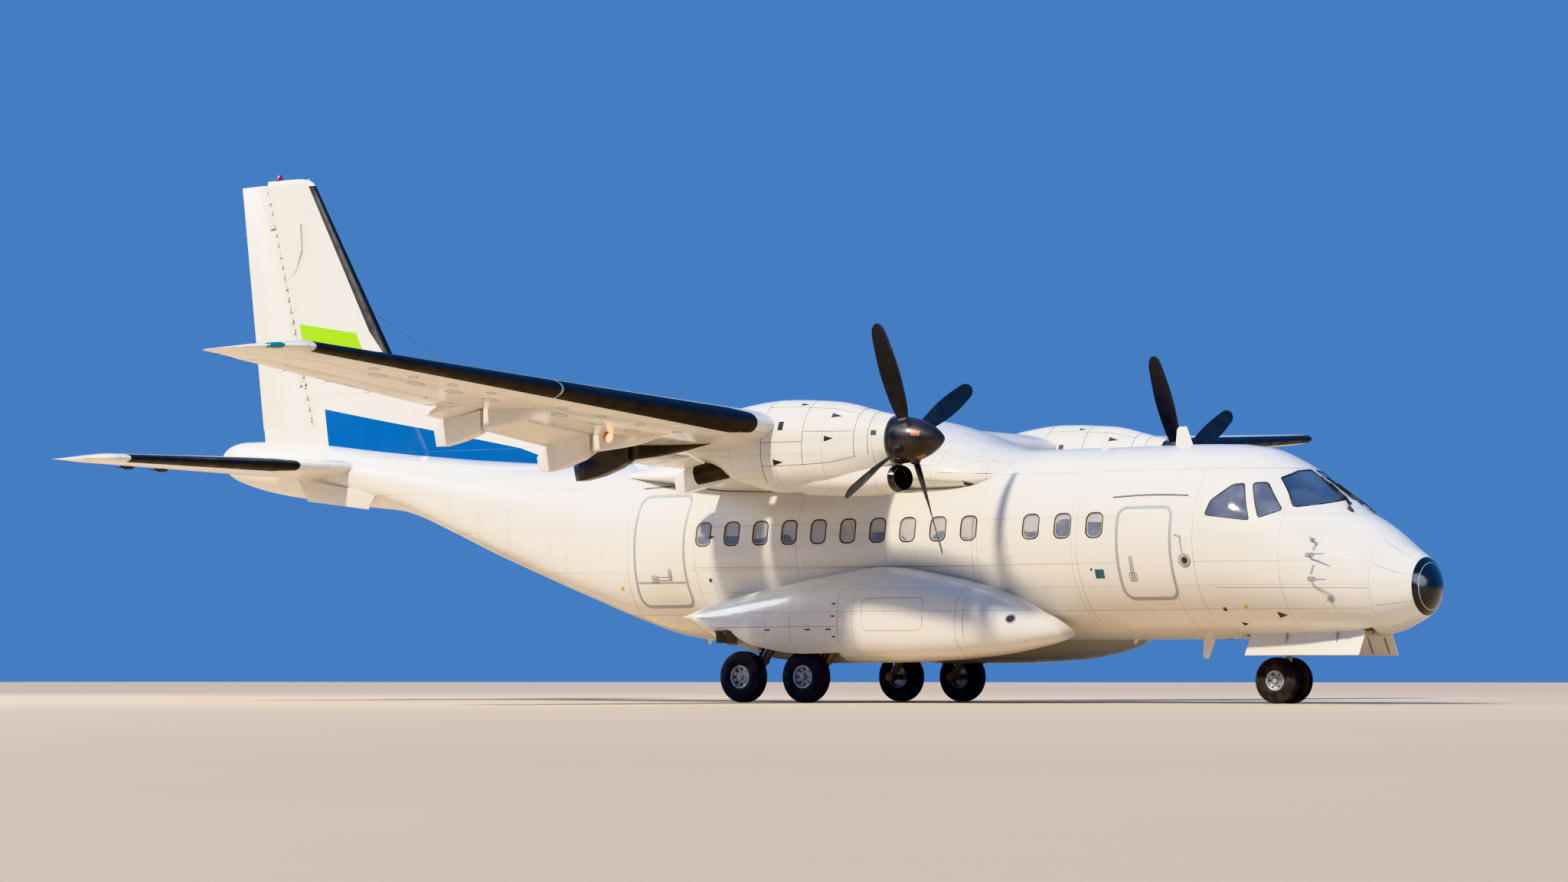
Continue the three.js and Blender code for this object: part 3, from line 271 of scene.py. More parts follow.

# %% [markdown]
# A piece has to ride on a body of the frame, so that it moves with its joint. It may stand for
# solids of the frame, which are then hidden. It gets the material it is given. Its slot in the
# frame is looked up from that material, whatever isn't listed here counting as white paint, but
# the lookup is not kept.

# %% Fitting a piece to the frame
SLOTS = {
    "black_paint": "boot_rubber black_paint seal_black soot rim_brown blade_paint",
    "gear_grey": "gear_grey gear_bronze wheel_metal", "bare_metal": "chrome bare_metal copper",
    "cockpit_glass": "cockpit_glass side_glass window_glass", "tyre": "tyre_rubber",
    "spinner_brown": "spinner_brown orange_patch",
}
SLOT_OF = {finish: slot for slot, finishes in SLOTS.items() for finish in finishes.split()}


def fit(piece, material, body="root", slot=None, instead_of=()):
    """Blender numbers a name the frame has taken, so only what is before the dot counts."""
    piece.data.materials.clear()
    piece.data.materials.append(material)
    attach(piece, body)
    slot or SLOT_OF.get(material.name.split(".")[0], "white_paint")
    if instead_of:
        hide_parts(*instead_of)
    return piece


def fit_all(name, parts, *how, **more):
    """Joins parts to one piece and fits that."""
    return fit(join(name, parts), *how, **more)


def copy_of(node, name):
    """A merged copy of a solid of the frame, free to be bevelled and cut."""
    piece = nodes[node].copy()
    piece.data = nodes[node].data.copy()
    bpy.context.scene.collection.objects.link(piece)
    piece.parent = None
    for key in list(piece.keys()):
        del piece[key]
    piece.name = name
    piece.data.name = name
    tidy_mesh(piece, 2e-5)
    bpy.ops.object.mode_set(mode="EDIT")
    bpy.ops.mesh.select_all(action="SELECT")
    bpy.ops.mesh.dissolve_limited(angle_limit=math.radians(0.5))
    bpy.ops.object.mode_set(mode="OBJECT")
    return piece


def dressed_copy(node, ending, material, body="root", edge=0.004, degrees=40):
    """A copy of a solid with rounded edges, in the solid's place."""
    piece = bevel(copy_of(node, f"{node}_{ending}"), edge, 2, degrees)
    return fit(piece, material, body, instead_of=[node])


def moving_surface(node, material):
    """A flap, aileron, elevator or rudder, smoothed less, so that its flat sides stay flat."""
    soften(dressed_copy(node, "surface", material, node), 28)


print("fit, fit_all and dressed_copy ready")
# %% [markdown]
# ## Finishes
# Aircraft paint is a cream white two-pack: smooth, with a clear gloss on top, thin lines where
# the sheets meet and rows of flush rivets beside them. Everything is worked out from Object
# coordinates, so the pattern sits on the aircraft in metres and needs no picture. Small helpers
# build the patterns, and each finish then reads as a short list of what is on the surface.

# %% Helpers for patterns
class Finish:
    """A material under construction: its nodes, and its one surface shader."""

    def __init__(self, name, color, roughness, metallic=0.0, **sockets):
        self.material = bpy.data.materials.new(name)
        self.material.use_nodes = True
        self.tree = self.material.node_tree
        self.shader = self.tree.nodes["Principled BSDF"]
        self.shader.inputs["Base Color"].default_value = (*color, 1)
        self.shader.inputs["Roughness"].default_value = roughness
        self.shader.inputs["Metallic"].default_value = metallic
        for socket, value in sockets.items():
            self.shader.inputs[socket.replace("_", " ")].default_value = value
        self.place = self.tree.nodes.new("ShaderNodeTexCoord").outputs["Object"]
        self.color = (*color, 1)
        self.heights = []

    def node(self, kind, inputs=(), **settings):
        made = self.tree.nodes.new(kind)
        for setting, value in settings.items():
            setattr(made, setting, value)
        for slot_name, value in dict(inputs).items():
            self.feed(made.inputs[slot_name], value)
        return made

    def feed(self, socket, value):
        if isinstance(value, bpy.types.NodeSocket):
            self.tree.links.new(value, socket)
        else:
            socket.default_value = value

    def math(self, operation, first, second=0.0, third=0.0):
        return self.node("ShaderNodeMath", {0: first, 1: second, 2: third}, operation=operation).outputs[0]

    def along(self, axis):
        """How far a point lies along an axis, in metres."""
        return self.node(
            "ShaderNodeVectorMath", {0: self.place, 1: axis}, operation="DOT_PRODUCT").outputs["Value"]

    def stretched(self, scale):
        return self.node("ShaderNodeMapping", {"Vector": self.place, "Scale": scale}).outputs[0]

    def noise(self, scale, detail=3.0, stretch=(1, 1, 1), low=0.35, high=0.65):
        inputs = {"Vector": self.stretched(stretch), "Scale": scale, "Detail": detail}
        value = self.node("ShaderNodeTexNoise", inputs).outputs["Fac"]
        return self.node("ShaderNodeMapRange", {0: value, 1: low, 2: high}).outputs[0]

    def lines(self, distance, spacing, width):
        """1 on thin lines every so far along a distance, else 0."""
        wave = self.math("PINGPONG", distance, spacing / 2)
        return self.math("LESS_THAN", wave, width / 2)

    def between(self, distance, start, end):
        return self.math(
            "MULTIPLY", self.math("GREATER_THAN", distance, start), self.math("LESS_THAN", distance, end))

    def paint(self, mask, color, strength=1.0):
        """Lays a colour over what is there, where the mask is 1."""
        share = self.math("MULTIPLY", mask, strength)
        mix = self.node("ShaderNodeMix", {"Factor": share}, data_type="RGBA")
        self.feed(mix.inputs["A"], self.color)
        self.feed(mix.inputs["B"], (*color, 1))
        self.color = mix.outputs["Result"]
        self.feed(self.shader.inputs["Base Color"], self.color)
        return self

    def rough(self, mask, low, high):
        self.feed(self.shader.inputs["Roughness"],
                  self.node("ShaderNodeMapRange", {0: mask, 3: low, 4: high}).outputs[0])
        return self

    def relief(self, height, depth):
        """Adds a height pattern of so many metres, as a bump."""
        bump = self.node("ShaderNodeBump", {"Height": height, "Distance": depth, "Strength": 0.6})
        if self.heights:
            self.feed(bump.inputs["Normal"], self.heights[-1])
        self.heights.append(bump.outputs[0])
        self.feed(self.shader.inputs["Normal"], bump.outputs[0])
        return self

    def outline_mask(self, corners):
        """1 inside a convex outline of (station, height) corners, else 0, seen from the side."""
        mask = None
        middle = sum((Vector(corner) for corner in corners), Vector((0, 0))) / len(corners)
        for k, start in enumerate(corners):
            end = corners[(k + 1) % len(corners)]
            normal = Vector((end[1] - start[1], start[0] - end[0])).normalized()
            if normal.dot(middle - Vector(start)) < 0:
                normal = -normal
            edge = normal.dot(Vector(start)) - normal.x * LENGTH / 2
            inside = self.math("GREATER_THAN", self.along((-normal.x, 0, normal.y)), edge)
            mask = inside if mask is None else self.math("MULTIPLY", mask, inside)
        return mask


print("pattern helpers ready")

# %% [markdown]
# The white paint comes in a few cuts of one cloth. They share the gloss, the slight waviness of
# thin sheet over frames, rain streaks and oily grime; they differ in which way the seams run.
# On a hull the frames are rings and the stringers run fore and aft. On a wing the ribs run fore
# and aft and the seams run out to the tip.

# %% Cream white paint
CREAM = (0.78, 0.74, 0.655)
GRIME = (0.33, 0.27, 0.2)
X_AXIS, Y_AXIS, Z_AXIS = (1, 0, 0), (0, 1, 0), (0, 0, 1)


def white_paint(name, seams=((X_AXIS, 1.5), (Z_AXIS, 0.62)), rivets=((X_AXIS, 0.5), (Z_AXIS, 0.31)),
                grime=0.2, flow=(0.25, 1, 2.5)):
    made = Finish(name, CREAM, 0.3, Coat_Weight=0.45, Coat_Roughness=0.07)
    made.paint(made.noise(0.35, 2), (0.74, 0.7, 0.62), 0.55)
    made.paint(made.noise(1.4, 6, flow, 0.5, 0.8), GRIME, grime)
    made.paint(made.noise(9, 8, flow, 0.62, 0.78), GRIME, grime * 0.8)
    made.rough(made.noise(2.2, 5), 0.24, 0.4)
    made.relief(made.noise(1.7, 1, (1, 1, 1), 0.2, 0.8), 0.006)
    for axis, spacing in rivets:
        row = made.lines(made.along(axis), spacing, 0.012)
        crossing = Y_AXIS if axis == X_AXIS else X_AXIS
        dots = made.math(
            "ADD", made.lines(made.along(crossing), 0.05, 0.012),
            made.lines(made.along(Z_AXIS), 0.05, 0.012))
        dots = made.math("MULTIPLY", row, made.math("MINIMUM", dots, 1.0))
        made.paint(dots, (0.45, 0.42, 0.38), 0.35)
        made.relief(dots, -0.0006)
    for axis, spacing in seams:
        seam = made.lines(made.along(axis), spacing, 0.007)
        made.paint(seam, (0.3, 0.27, 0.23), 0.5)
        made.relief(seam, -0.0015)
    return made


hull_paint = white_paint("hull_paint").material
wing_paint = white_paint(
    "wing_paint", ((Y_AXIS, 1.26), (X_AXIS, 0.71)), ((Y_AXIS, 0.42),), 0.3, (2.5, 0.5, 1)).material
cowl_paint = white_paint("cowl_paint", ((X_AXIS, 0.74),), ((X_AXIS, 0.37), (Z_AXIS, 0.3)), 0.38).material
panel_paint = white_paint("panel_paint", (), (), 0.18).material
print("white paints:", hull_paint.name, wing_paint.name, cowl_paint.name, panel_paint.name)

# %% [markdown]
# The fin carries the livery: a lime green field with sloping ends, and a blue band that widens
# towards the rudder. Both are straight-edged, so a few half-planes cut them out exactly.

# %% Fin paint with its fields of colour
LIME_FIELD = [(19.72, 5.88), (18.52, 5.68), (18.15, 5.01), (19.54, 5.22)]
BLUE_BAND = [(19.14, 4.52), (15.31, 3.8), (14.7, 3.6), (14.7, 3.3), (18.95, 3.3)]
livery = white_paint("fin_paint", ((Z_AXIS, 0.95), (X_AXIS, 1.3)), ((Z_AXIS, 0.475),), 0.15, (1, 1, 0.3))
livery.paint(livery.outline_mask(LIME_FIELD), (0.33, 0.58, 0.0))
livery.paint(livery.outline_mask(BLUE_BAND), (0.0, 0.1, 0.33))
fin_paint = livery.material
print("fin paint with", len(LIME_FIELD), "+", len(BLUE_BAND), "edges")

# %% [markdown]
# The rest of the finishes are each one short story: rubber that has dulled and picked up dust,
# bare metal with turning marks, exhaust soot that fades from black to brown, tinted glass. The
# soot black also lines the intake ducts and the seal black fills openings, both as painted shade.

# %% Rubber, metal, soot and glass
def simple(name, color, roughness, metallic=0.0, wear=(0.5, 0.5, 0.5), amount=0.2, scale=6.0,
           depth=0.0008, stretch=(1, 1, 1), **sockets):
    made = Finish(name, color, roughness, metallic, **sockets)
    made.paint(made.noise(scale, 6, stretch, 0.42, 0.72), wear, amount)
    made.rough(made.noise(scale * 0.7, 4, stretch), roughness * 0.8, min(1, roughness * 1.25))
    made.relief(made.noise(scale * 8, 4, stretch), depth)
    return made.material


boot_rubber = simple(
    "boot_rubber", (0.005, 0.005, 0.006), 0.5, wear=(0.03, 0.028, 0.027), amount=0.35, depth=0.0001)
black_paint = simple(
    "black_paint", (0.007, 0.007, 0.008), 0.22, wear=(0.03, 0.03, 0.03), depth=0.0003, Coat_Weight=0.5)
tyre_rubber = simple(
    "tyre_rubber", (0.014, 0.014, 0.015), 0.72, wear=(0.09, 0.08, 0.07), amount=0.5, scale=9)
seal_black = simple("seal_black", (0.02, 0.02, 0.021), 0.6)
seam_dark = simple("seam_dark", (0.16, 0.15, 0.14), 0.6)
seam_soft = simple("seam_soft", (0.34, 0.32, 0.28), 0.5)
soot = simple("soot", (0.012, 0.011, 0.011), 0.5, wear=(0.09, 0.06, 0.04), amount=0.4, scale=3)
gear_grey = simple("gear_grey", (0.42, 0.42, 0.41), 0.38, 0.25, wear=(0.16, 0.13, 0.1), amount=0.45)
gear_bronze = simple("gear_bronze", (0.3, 0.25, 0.2), 0.42, 0.35, wear=(0.1, 0.08, 0.06), amount=0.4)
wheel_metal = simple(
    "wheel_metal", (0.5, 0.5, 0.49), 0.36, 0.4, wear=(0.08, 0.07, 0.06), amount=0.5, scale=14)
chrome = simple("chrome", (0.72, 0.72, 0.71), 0.16, 1.0, wear=(0.3, 0.3, 0.3), amount=0.1)
bare_metal = simple("bare_metal", (0.46, 0.45, 0.43), 0.34, 0.9, wear=(0.2, 0.17, 0.14), amount=0.4)
copper = simple("copper", (0.7, 0.33, 0.14), 0.28, 0.9, wear=(0.3, 0.15, 0.08))
grey_line = simple("grey_line", (0.36, 0.38, 0.38), 0.4, wear=(0.2, 0.2, 0.2))
bay_paint = simple("bay_paint", (0.36, 0.35, 0.31), 0.6, wear=(0.08, 0.07, 0.05), amount=0.6, scale=3)
dark_red = simple("dark_red", (0.2, 0.018, 0.018), 0.5)
blade_paint = simple("blade_paint", (0.014, 0.015, 0.018), 0.36, wear=(0.08, 0.08, 0.08), amount=0.25)
reveal = simple("window_reveal", (0.72, 0.66, 0.52), 0.4, wear=(0.4, 0.33, 0.22))
rim_brown = simple("rim_brown", (0.06, 0.04, 0.028), 0.45)
print("plain finishes ready")

# %% [markdown]
# Cockpit glass is thick, coated and faintly blue. Seen from outside the windscreen is dark, with a
# soft sky in it, because little light comes back out of the cockpit. A dark body with a clear
# coat does that on a closed pane, and some haze keeps it from looking like a hole. The side panes
# let more light through the cockpit, so theirs is a paler, greyer body.

# %% Glass, lamps and spinner
cockpit_glass = simple(
    "cockpit_glass", (0.04, 0.065, 0.12), 0.06, wear=(0.16, 0.2, 0.28), amount=0.55, scale=1.6,
    depth=0.0002, Coat_Weight=1.0, Coat_Roughness=0.015, Specular_IOR_Level=0.7)
side_glass = simple(
    "side_glass", (0.11, 0.125, 0.17), 0.08, wear=(0.32, 0.33, 0.38), amount=0.6, scale=2.5, depth=0.0002,
    Coat_Weight=1.0, Coat_Roughness=0.02)
teal_lens = simple("teal_lens", (0.0, 0.16, 0.15), 0.1, wear=(0.0, 0.3, 0.28), Coat_Weight=1.0)
red_lens = simple("red_lens", (0.32, 0.01, 0.01), 0.1, wear=(0.5, 0.02, 0.02), Coat_Weight=1.0)
lit = Finish("lit_lamp", (1.0, 0.72, 0.4), 0.2)
lit.paint(lit.noise(30, 2), (1.0, 0.85, 0.6), 0.5)
lit.shader.inputs["Emission Color"].default_value = (1.0, 0.62, 0.28, 1)
lit.shader.inputs["Emission Strength"].default_value = 5.0
lit_lamp = lit.material

spinner = Finish("spinner_brown", (0.016, 0.013, 0.012), 0.3, Coat_Weight=0.4)
spinner.paint(spinner.noise(5, 5), (0.1, 0.075, 0.06), 0.4)
spinner.rough(spinner.noise(7), 0.28, 0.5)
spinner.relief(spinner.noise(40, 3), 0.0004)
spinner_brown = spinner.material
orange_patch = simple("orange_patch", (0.5, 0.16, 0.035), 0.4, wear=(0.2, 0.07, 0.03), amount=0.5)
print("glass, lamps and spinner ready")
# %% [markdown]
# ## Camera, floor and light
# The camera stands on the floor ahead of the starboard side, a long way off with a long lens, so
# that near and far parts keep the same scale. A pale floor runs to the horizon. One wide sun
# lamp lights the part and the whole floor evenly, so the floor throws its warm tone back up on
# the undersides, and two big soft lamps fill in from the front and from behind.

# %% Camera, floor and light
AZIMUTH = math.radians(35.7)
CAMERA_DISTANCE = 62.0
CAMERA_HEIGHT = 0.32
FRAME_WIDTH = 22.6
target = Vector((0.25, 0.0, 3.75))
deselect()
bpy.ops.object.camera_add(location=(
    target.x + math.sin(AZIMUTH) * CAMERA_DISTANCE,
    target.y - math.cos(AZIMUTH) * CAMERA_DISTANCE,
    CAMERA_HEIGHT,
))
camera = bpy.context.object
camera.name = "camera"
camera.rotation_euler = (target - camera.location).to_track_quat("-Z", "Y").to_euler()
camera.data.sensor_width = 36
camera.data.lens = 36 * (target - camera.location).length / FRAME_WIDTH
camera.data.clip_end = 1000
bpy.context.scene.camera = camera

FLOOR_SIZE = 700
deselect()
bpy.ops.mesh.primitive_plane_add(size=FLOOR_SIZE, location=(0, 0, -0.002))
floor = bpy.context.object
floor.name = "floor"
bpy.ops.object.transform_apply(location=True, rotation=False, scale=False)
floor_finish = Finish("floor_finish", (0.7, 0.54, 0.36), 0.6)
floor_finish.paint(floor_finish.noise(0.15, 4), (0.64, 0.49, 0.32), 0.4)
floor.data.materials.append(floor_finish.material)

world = bpy.data.worlds.new("pale_sky")
bpy.context.scene.world = world
world.use_nodes = True
world.node_tree.nodes["Background"].inputs["Color"].default_value = (0.17, 0.42, 1.0, 1)
world.node_tree.nodes["Background"].inputs["Strength"].default_value = 0.58


def lamp(kind, name, location, power, color):
    deselect()
    bpy.ops.object.light_add(type=kind, location=location)
    light = bpy.context.object
    light.name = name
    light.data.energy = power
    light.data.color = color
    light.rotation_euler = (Vector((0, 0, 3)) - Vector(location)).to_track_quat("-Z", "Y").to_euler()
    return light.data


key = lamp("SUN", "key", (-1.5, -32, 36), 4.1, (1.0, 0.92, 0.79))
key.angle = math.radians(5)
fill = lamp("AREA", "fill", (38, 4, 9), 2200, (0.88, 0.94, 1.0))
fill.shape, fill.size = "DISK", 14
back = lamp("AREA", "back", (-28, -6, 20), 5000, (0.95, 0.97, 1.0))
back.shape, back.size = "DISK", 16
bpy.context.scene.view_settings.view_transform = "Khronos PBR Neutral"
print(f"lens {camera.data.lens:.0f} mm, {len(bpy.data.lights)} lights")

# %% [markdown]
# ## The fuselage
# The hull is round over the cabin, drooped and pointed at the nose, and flattened under the
# tail, where the ramp is. Its sections are ovals with their own bottom, top and widest height;
# below the widest height they get squarer towards the tail. A function of station and angle
# gives any point of the skin, and everything that lies on the hull is placed by it.

# %% Fuselage sections
# station, half width, bottom, top, widest height, squareness of the belly
HULL = [
    (0.0, 0.0, 1.52, 1.52, 1.52, 2), (0.015, 0.15, 1.375, 1.67, 1.523, 2),
    (0.055, 0.28, 1.245, 1.8, 1.523, 2), (0.16, 0.44, 1.145, 1.91, 1.528, 2),
    (0.34, 0.57, 1.045, 2.04, 1.545, 2), (0.62, 0.74, 0.93, 2.262, 1.6, 2),
    (0.86, 0.86, 0.885, 2.425, 1.665, 2), (1.08, 0.96, 0.87, 2.545, 1.73, 2),
    (1.3, 1.05, 0.863, 2.715, 1.8, 2), (1.56, 1.145, 0.86, 2.905, 1.88, 2),
    (1.83, 1.235, 0.86, 3.095, 1.96, 2), (2.12, 1.31, 0.86, 3.265, 2.04, 2),
    (2.45, 1.375, 0.86, 3.4, 2.11, 2), (2.9, 1.425, 0.86, 3.46, 2.15, 2),
    (3.6, 1.45, 0.86, 3.48, 2.171, 2), (11.3, 1.45, 0.86, 3.48, 2.171, 2),
    (11.9, 1.44, 0.935, 3.48, 2.21, 2.4), (12.4, 1.42, 1.115, 3.482, 2.29, 3),
    (13.0, 1.37, 1.35, 3.49, 2.42, 3.6), (14.0, 1.28, 1.72, 3.515, 2.64, 4),
    (15.0, 1.18, 2.085, 3.56, 2.85, 4), (16.0, 1.08, 2.47, 3.63, 3.05, 3.6),
    (16.8, 1.0, 2.75, 3.7, 3.22, 3), (17.4, 0.94, 2.88, 3.765, 3.33, 2.6),
    (18.2, 0.85, 2.968, 3.86, 3.44, 2.4), (19.15, 0.69, 3.08, 3.97, 3.56, 2.2),
    (20.1, 0.5, 3.21, 4.05, 3.65, 2), (20.9, 0.31, 3.4, 4.06, 3.74, 2),
    (21.25, 0.17, 3.56, 3.99, 3.78, 2), (LENGTH, 0.0, 3.8, 3.8, 3.8, 2),
]
HULL_POINTS = 112


def hull_section(station):
    if station < HULL[3][0]:
        share = math.sqrt(station / HULL[3][0])
        return [blend(HULL[0][c], HULL[3][c], share) for c in range(1, 6)]
    if station > HULL[-2][0]:
        share = math.sqrt(max(0, (LENGTH - station) / (LENGTH - HULL[-2][0])))
        return [blend(HULL[-1][c], HULL[-2][c], share) for c in range(1, 6)]
    return [smooth(HULL, station, column) for column in range(1, 6)]


def oval_point(station, y, section, angle, lift, side=1):
    """A point of an oval section about y, at an angle counted up from port, lifted off it."""
    half, bottom, top, widest, squareness = section
    across, up = math.cos(angle), math.sin(angle)
    power = 2 / (squareness if up < 0 else 2)
    reach = widest - bottom if up < 0 else top - widest
    return at(station, y + side * math.copysign(abs(across) ** power, across) * (half + lift),
              widest + math.copysign(abs(up) ** power, up) * (reach + lift))


def oval_face(station, z, side, section, middle, reach_limit, lift):
    """The outer face of an oval body at a height, its middle a distance out, lifted off it."""
    half, bottom, top, widest, squareness = section
    tall, power = (top - widest, 2) if z > widest else (widest - bottom, squareness)
    share = min(reach_limit, abs(z - widest) / tall)
    reach = half * (1 - share**power) ** (1 / power)
    outward = Vector((0, side * reach / half**2, (z - widest) / tall**2)).normalized()
    return at(station, side * (middle + reach), z) + outward * lift


def oval(station, y, section, count, inset=0.0):
    angles = [(k + 0.5) / count * 2 * math.pi for k in range(count)]
    return [oval_point(station, y, section, angle, -inset) for angle in angles]


def hull_turn(station, angle, lift=0.0):
    return oval_point(station, 0, hull_section(station), angle, lift)


def hull_side(station, z, side, lift=0.0):
    """The point of the skin at a height, on the port (1) or starboard (-1) side, lifted off it."""
    def reach_at(s, height):
        half, bottom, top, widest, squareness = hull_section(s)
        tall = max(1e-6, top - widest if height > widest else widest - bottom)
        power = 2 if height > widest else squareness
        share = min(1.0, abs(height - widest) / tall)
        return half * (1 - share**power) ** (1 / power)

    step = 0.004
    here = reach_at(station, z)
    slope_s = (reach_at(station + step, z) - reach_at(station - step, z)) / (2 * step)
    slope_z = (reach_at(station, z + step) - reach_at(station, z - step)) / (2 * step)
    outward = Vector((slope_s, side, -slope_z)).normalized()
    return at(station, side * here, z) + outward * lift


def hull_stations(start, end, pitch=0.1):
    count = max(2, round((end - start) / pitch) + 1)
    return spread(start, end, count)


def hull_ring(station, section_at=None, inset=0.0):
    return oval(station, 0, hull_section(section_at or station), HULL_POINTS, inset)


print(len(HULL), "sections, widest half:", max(row[1] for row in HULL))

# %% [markdown]
# The hull is built in five lengths, as on the real one: a black radome tip, the radome, the
# cabin, the rear hull and the tail cone. The joints between them show as fine seams, so every
# length turns its end edges in by a hair instead of meeting the next one flush.

# %% Five lengths of hull
def hull_piece(name, start, end, pitch=0.1):
    """A closed stretch of hull, its end edges turned in by a hair, which shows as a seam."""
    edge = 0.0025
    stations = hull_stations(start + edge, end - edge, pitch)
    first = hull_ring(start + 0.0005, start + edge, edge)
    last = hull_ring(end - 0.0005, end - edge, edge)
    rows = [first, *(hull_ring(s) for s in stations), last]
    if start <= 0:
        nose = [hull_ring(s) for s in (0.002, 0.008, 0.02, 0.04, 0.07, 0.1, 0.13)]
        rows = [[at(0, 0, HULL[0][2])] * HULL_POINTS, *nose, *rows[-2:]]
        return wrap(name, [*rows, middle_of(last)])
    if end >= LENGTH:
        body = [row for row in rows[:-1] if row[0].x > LENGTH / 2 - 21.28]
        tip = [hull_ring(s) for s in (21.3, 21.35, 21.385, 21.397)]
        return wrap(name, [middle_of(first), *body, *tip, [at(LENGTH, 0, HULL[-1][2])] * HULL_POINTS])
    return wrap(name, capped(rows))


TIP_BACK, RADOME_BACK, CABIN_BACK, TAIL_FRONT = 0.16, 0.62, 12.2, 17.6
radome_tip = hull_piece("radome_tip_skin", 0.0, TIP_BACK, 0.02)
radome = hull_piece("radome_skin", TIP_BACK, RADOME_BACK, 0.04)
cabin = hull_piece("cabin_skin", RADOME_BACK, CABIN_BACK, 0.09)
aft = hull_piece("aft_skin", CABIN_BACK, TAIL_FRONT, 0.1)
tail = hull_piece("tail_skin", TAIL_FRONT, LENGTH, 0.1)
print("hull:", {piece.name: len(piece.data.polygons) for piece in (radome_tip, radome, cabin, aft, tail)})

# %% [markdown]
# Doors, windows, panes, plates and vents all lie in or on the skin. One helper makes them all: it
# draws an outline in rings about its middle, puts every ring on the skin, and closes it with an
# edge and a back, so the plate is as curved as the hull under it. The same plate, a touch larger
# and deeper, is the tool that cuts its seat. The outlines come first.

# %% Outlines
def rounded(front, back, bottom, top, radius, steps=5):
    corners = [
        (back, top, -1, -1, 0), (front, top, 1, -1, 1), (front, bottom, 1, 1, 2), (back, bottom, -1, 1, 3),
    ]
    outline = []
    for a, b, in_a, in_b, quarter in corners:
        for step in range(steps + 1):
            angle = math.pi / 2 * (quarter + step / steps)
            outline.append((
                a + in_a * radius + radius * math.cos(angle), b + in_b * radius + radius * math.sin(angle)))
    return outline


def disc(a, b, radius, count=20):
    return [(a + radius * math.cos(angle), b + radius * math.sin(angle)) for angle in circle(count)]


def dense(outline, longest=0.09):
    """The outline with its long sides split, so that they can bend with the skin."""
    points = []
    for k, start in enumerate(outline):
        end = outline[(k + 1) % len(outline)]
        pieces = max(1, math.ceil(math.dist(start, end) / longest))
        points += [(blend(start[0], end[0], i / pieces), blend(start[1], end[1], i / pieces))
                   for i in range(pieces)]
    return points


def grown(outline, amount):
    """The outline with each side moved outwards."""
    area = sum(a[0] * b[1] - b[0] * a[1] for a, b in zip(outline, outline[1:] + outline[:1]))
    turn = 1 if area > 0 else -1
    result = []
    for k, here in enumerate(outline):
        before, after = Vector(outline[k - 1]), Vector(outline[(k + 1) % len(outline)])
        first, second = (Vector(here) - before).normalized(), (after - Vector(here)).normalized()
        outward = Vector((first.y + second.y, -first.x - second.x))
        outward = outward / max(0.3, outward.length_squared / 2) * turn * amount
        result.append((here[0] + outward.x, here[1] + outward.y))
    return result


print("outline helpers ready")

# %% [markdown]
# A plate is closed all over. A band is a ribbon along an outline, for seals, rims and painted
# lines, and a strip is a ribbon along an open line, for seams. Each is told how far its outer
# and its inner face lie off the skin, and the usual pairs of those have names.

# %% Plates, bands and strips
# How far the outer and the inner face of small parts lie off the skin.
PAINTED, RAISED = (0.0012, -0.002), (0.0016, -0.002)
HULL_SEAM, JOINT, POD_SEAM = (0.0009, -0.002), (0.0012, -0.003), (0.001, -0.003)
# HOLE and COWL_HOLE place black plates that stand for openings; their black is painted shade.
HOLE, COWL_HOLE, PROUD = (0.002, -0.006), (0.0015, -0.01), (0.006, -0.004)


def plate(name, outline, surface, top, bottom, rings=4, edge=0.0):
    """A closed plate on a surface(a, b, lift), from a bottom to a top distance off it."""
    outline = dense(outline)
    centre = [sum(p[i] for p in outline) / len(outline) for i in (0, 1)]

    def row(share, lift):
        return [surface(blend(centre[0], a, share), blend(centre[1], b, share), lift) for a, b in outline]

    rim = 1 - edge / max(math.dist(centre, p) for p in outline)
    shares = [k / rings * rim for k in range(rings + 1)]
    rows = [row(share, top) for share in shares]
    if edge:
        rows.append(row(1, top - edge))
    rows += [row(share, bottom) for share in [1, *reversed([k / rings for k in range(rings)])]]
    return wrap(name, rows)


def band(name, outline, surface, width, top, bottom):
    """A closed ribbon along an outline, half its width on either side."""
    outline = dense(outline)
    inner, outer = grown(outline, -width / 2), grown(outline, width / 2)
    rows = [[surface(a, b, lift) for a, b in side]
            for side, lift in ((inner, top), (outer, top), (outer, bottom), (inner, bottom))]
    return wrap(name, rows, ring=True)


def strip(name, path, surface, width, top, bottom):
    """A closed ribbon along an open line of points."""
    points = []
    for start, end in zip(path, path[1:]):
        pieces = max(1, math.ceil(math.dist(start, end) / 0.08))
        points += [Vector(start).lerp(Vector(end), i / pieces) for i in range(pieces)]
    points.append(Vector(path[-1]))
    rows = []
    for k, here in enumerate(points):
        run = (points[min(k + 1, len(points) - 1)] - points[max(k - 1, 0)]).normalized()
        off = Vector((-run.y, run.x)) * width / 2
        corners = [(here + off, top), (here - off, top), (here - off, bottom), (here + off, bottom)]
        rows.append([surface(p.x, p.y, lift) for p, lift in corners])
    return wrap(name, capped(rows))


def strips(paths, surface, width, top, bottom):
    return [strip("strip", path, surface, width, top, bottom) for path in paths]


print("plate, band and strip ready")

# %% [markdown]
# Those helpers need the hull as a surface. Seen from the side, a station and a height say where
# a point is. On the nose the skin faces forward, so there a distance out and a height say it.

# %% The hull as a surface
def on_side(side):
    return lambda station, z, lift: hull_side(station, z, side, lift)


